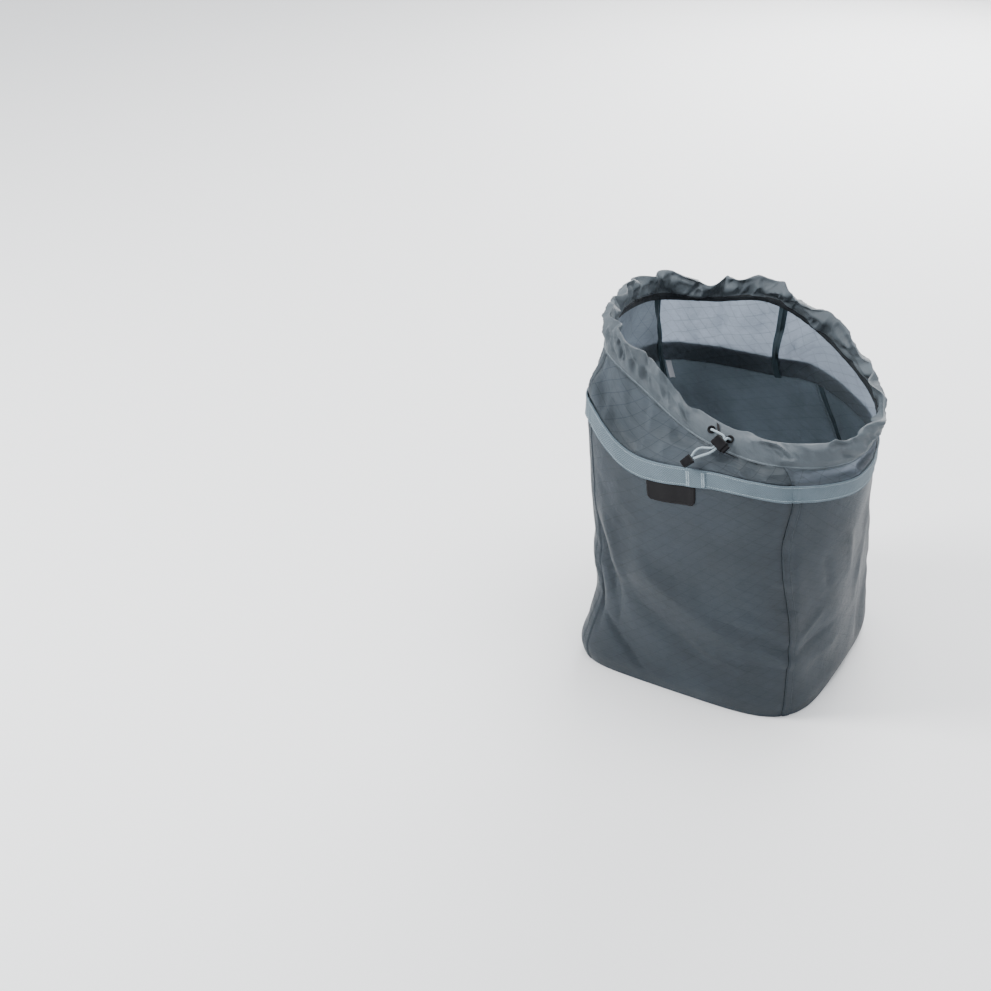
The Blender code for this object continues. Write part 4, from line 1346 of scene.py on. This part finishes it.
def add_draw_cord():
    """The draw cord: round the whole casing, out of the two eyelets and into the cord lock."""
    left, right = EYELET_U
    around = np.linspace(right + 0.020, left + 1 - 0.020, 220)
    ring = casing_points(around, EYELET_DOWN, 0.0)
    lock = lock_frame()
    ends = {}
    for u, side in ((left, -1), (right, 1)):
        out = frame_at(u, EYELET_DOWN, 0.0051)
        through = [out @ Vector((-side * 0.0006 * z, 0, z * 0.001)) for z in (-3.6, -1.2, 1.2, 3.6)]
        into = [lock @ Vector((side * CORD_SPACING / 2, y, 0))
                for y in (LOCK_WIDTH / 2 + 0.0030, 0.0004)]
        ends[u] = open_curve([*through, *into], 10)
    route = open_curve([*ends[right][::-1], *ring, *ends[left]], 1000)
    mesh = tube_mesh("braided_draw_cord", route, CORD_DIAMETER / 2, 14)
    finish_piece("braided_draw_cord", mesh, "cord", ["draw_cord"])


def turned_mesh(name, profile, steps):
    """A ring turned round Z from a closed profile of (radius, height) points."""
    angle = np.arange(steps) / steps * 2 * math.pi
    profile = np.asarray(profile)
    x, y = profile[:, 0] * np.cos(angle)[:, None], profile[:, 0] * np.sin(angle)[:, None]
    points = np.stack([x, y, np.broadcast_to(profile[:, 1], x.shape)], -1)
    number = np.arange(points.shape[0] * points.shape[1]).reshape(x.shape)
    ahead = np.roll(number, -1, axis=0)
    quads = np.stack([number, ahead, np.roll(ahead, -1, axis=1), np.roll(number, -1, axis=1)], -1)
    return make_mesh(name, points, quads.reshape(-1, 4).tolist())


def add_eyelets():
    """Moulded eyelets: a rolled flange over the fabric and a barrel through it."""
    hole, barrel, flange = 0.0026, 0.0032, 0.0052
    roll = [(hole + 0.0013 + 0.0013 * math.cos(a), 0.0003 + 0.0010 * math.sin(a))
            for a in np.linspace(math.pi, math.pi / 2, 6)]
    lip = [(flange - 0.0006 + 0.0006 * math.cos(a), 0.0003 + 0.0010 * math.sin(a))
           for a in np.linspace(math.pi / 2, 0, 6)]
    profile = [*roll, *lip, (barrel, 0.0003), (barrel, -0.0014), (hole, -0.0014)]
    for name, u in zip(("eyelet_left", "eyelet_right"), EYELET_U):
        mesh = turned_mesh(f"rolled_{name}", profile[::-1], 48)
        mesh.transform(frame_at(u, EYELET_DOWN, CASING_BULGE + 0.0004 + GAP))
        finish_piece(f"rolled_{name}", mesh, "plastic", [name])


def add_tether():
    """The flat tape from the cord lock up to the top of the casing."""
    half_width, half_thickness, length = 0.0026, 0.0004, 0.032
    lock = lock_frame()
    start = lock @ Vector((0.001, LOCK_WIDTH / 2 + GAP, -LOCK_HEIGHT / 2 - 0.0008))
    low = frame_at(LOCK_U + 0.001, EYELET_DOWN, CASING_BULGE + 0.0016).translation
    high = frame_at(LOCK_U + 0.001, 0.004, 0.0030 + 0.0022).translation
    across = np.array((lock.to_3x3() @ Vector((1, 0, 0))) * half_width)
    route = open_curve([start, low, high], 30)
    ahead = np.gradient(route, axis=0)
    out = unit(np.cross(across, ahead)) * half_thickness
    shares = np.linspace(-1, 1, 9)
    rise = (1 - 0.6 * np.abs(shares) ** 6)[None, :, None] * out[:, None]
    middle = route[:, None] + shares[None, :, None] * across
    uv = pairs(shares[None] * half_width, np.linspace(0, length, len(route))[:, None])
    mesh = slab_mesh("tether_tape", middle + rise, middle - rise, uv)
    finish_piece("tether_tape", mesh, "black_tape", ["lock_tether"])


def add_spring():
    """The coil spring behind the button, at one length: nothing here shortens it as the button is
    pressed.
    """
    wire, radius, turns = 0.0005, 0.0021, 3.5
    start, end = LOCK_WALL + GAP - LOCK_LENGTH / 2, LOCK_WALL + 0.0045 - GAP - LOCK_LENGTH / 2
    share = np.linspace(0, 1, 120)
    x = start + wire / 2 + share * (end - start - wire)
    angle = 2 * math.pi * turns * share
    lock = lock_frame()
    path = [lock @ Vector(p) for p in zip(x, radius * np.cos(angle), radius * np.sin(angle))]
    mesh = tube_mesh("coil_spring", path, wire / 2, 12)
    piece = finish_piece("coil_spring", mesh, "steel", ["cord_lock_spring"])
    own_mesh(piece)


def dress_hardware():
    """The cord lock, its button and the cord end keep their CAD shapes."""
    for name in ("cord_lock_body", "cord_lock_button", "cord_end"):
        NODES[name].data.materials.clear()
        NODES[name].data.materials.append(MATERIALS["plastic"])


add_camera()
MATERIALS = make_materials()
add_tails()
add_draw_cord()
add_studio()
DRAPE = drape()
add_body_panels()
add_collar_panels()
add_seam_tapes()
add_base()
add_base_binding()
add_webbing()
add_webbing_lap()
add_rim_stitches()
add_seam_stitches()
add_casing()
add_hem_tape()
add_casing_stitches()
add_patch()
add_label()
add_eyelets()
add_tether()
add_spring()
dress_hardware()
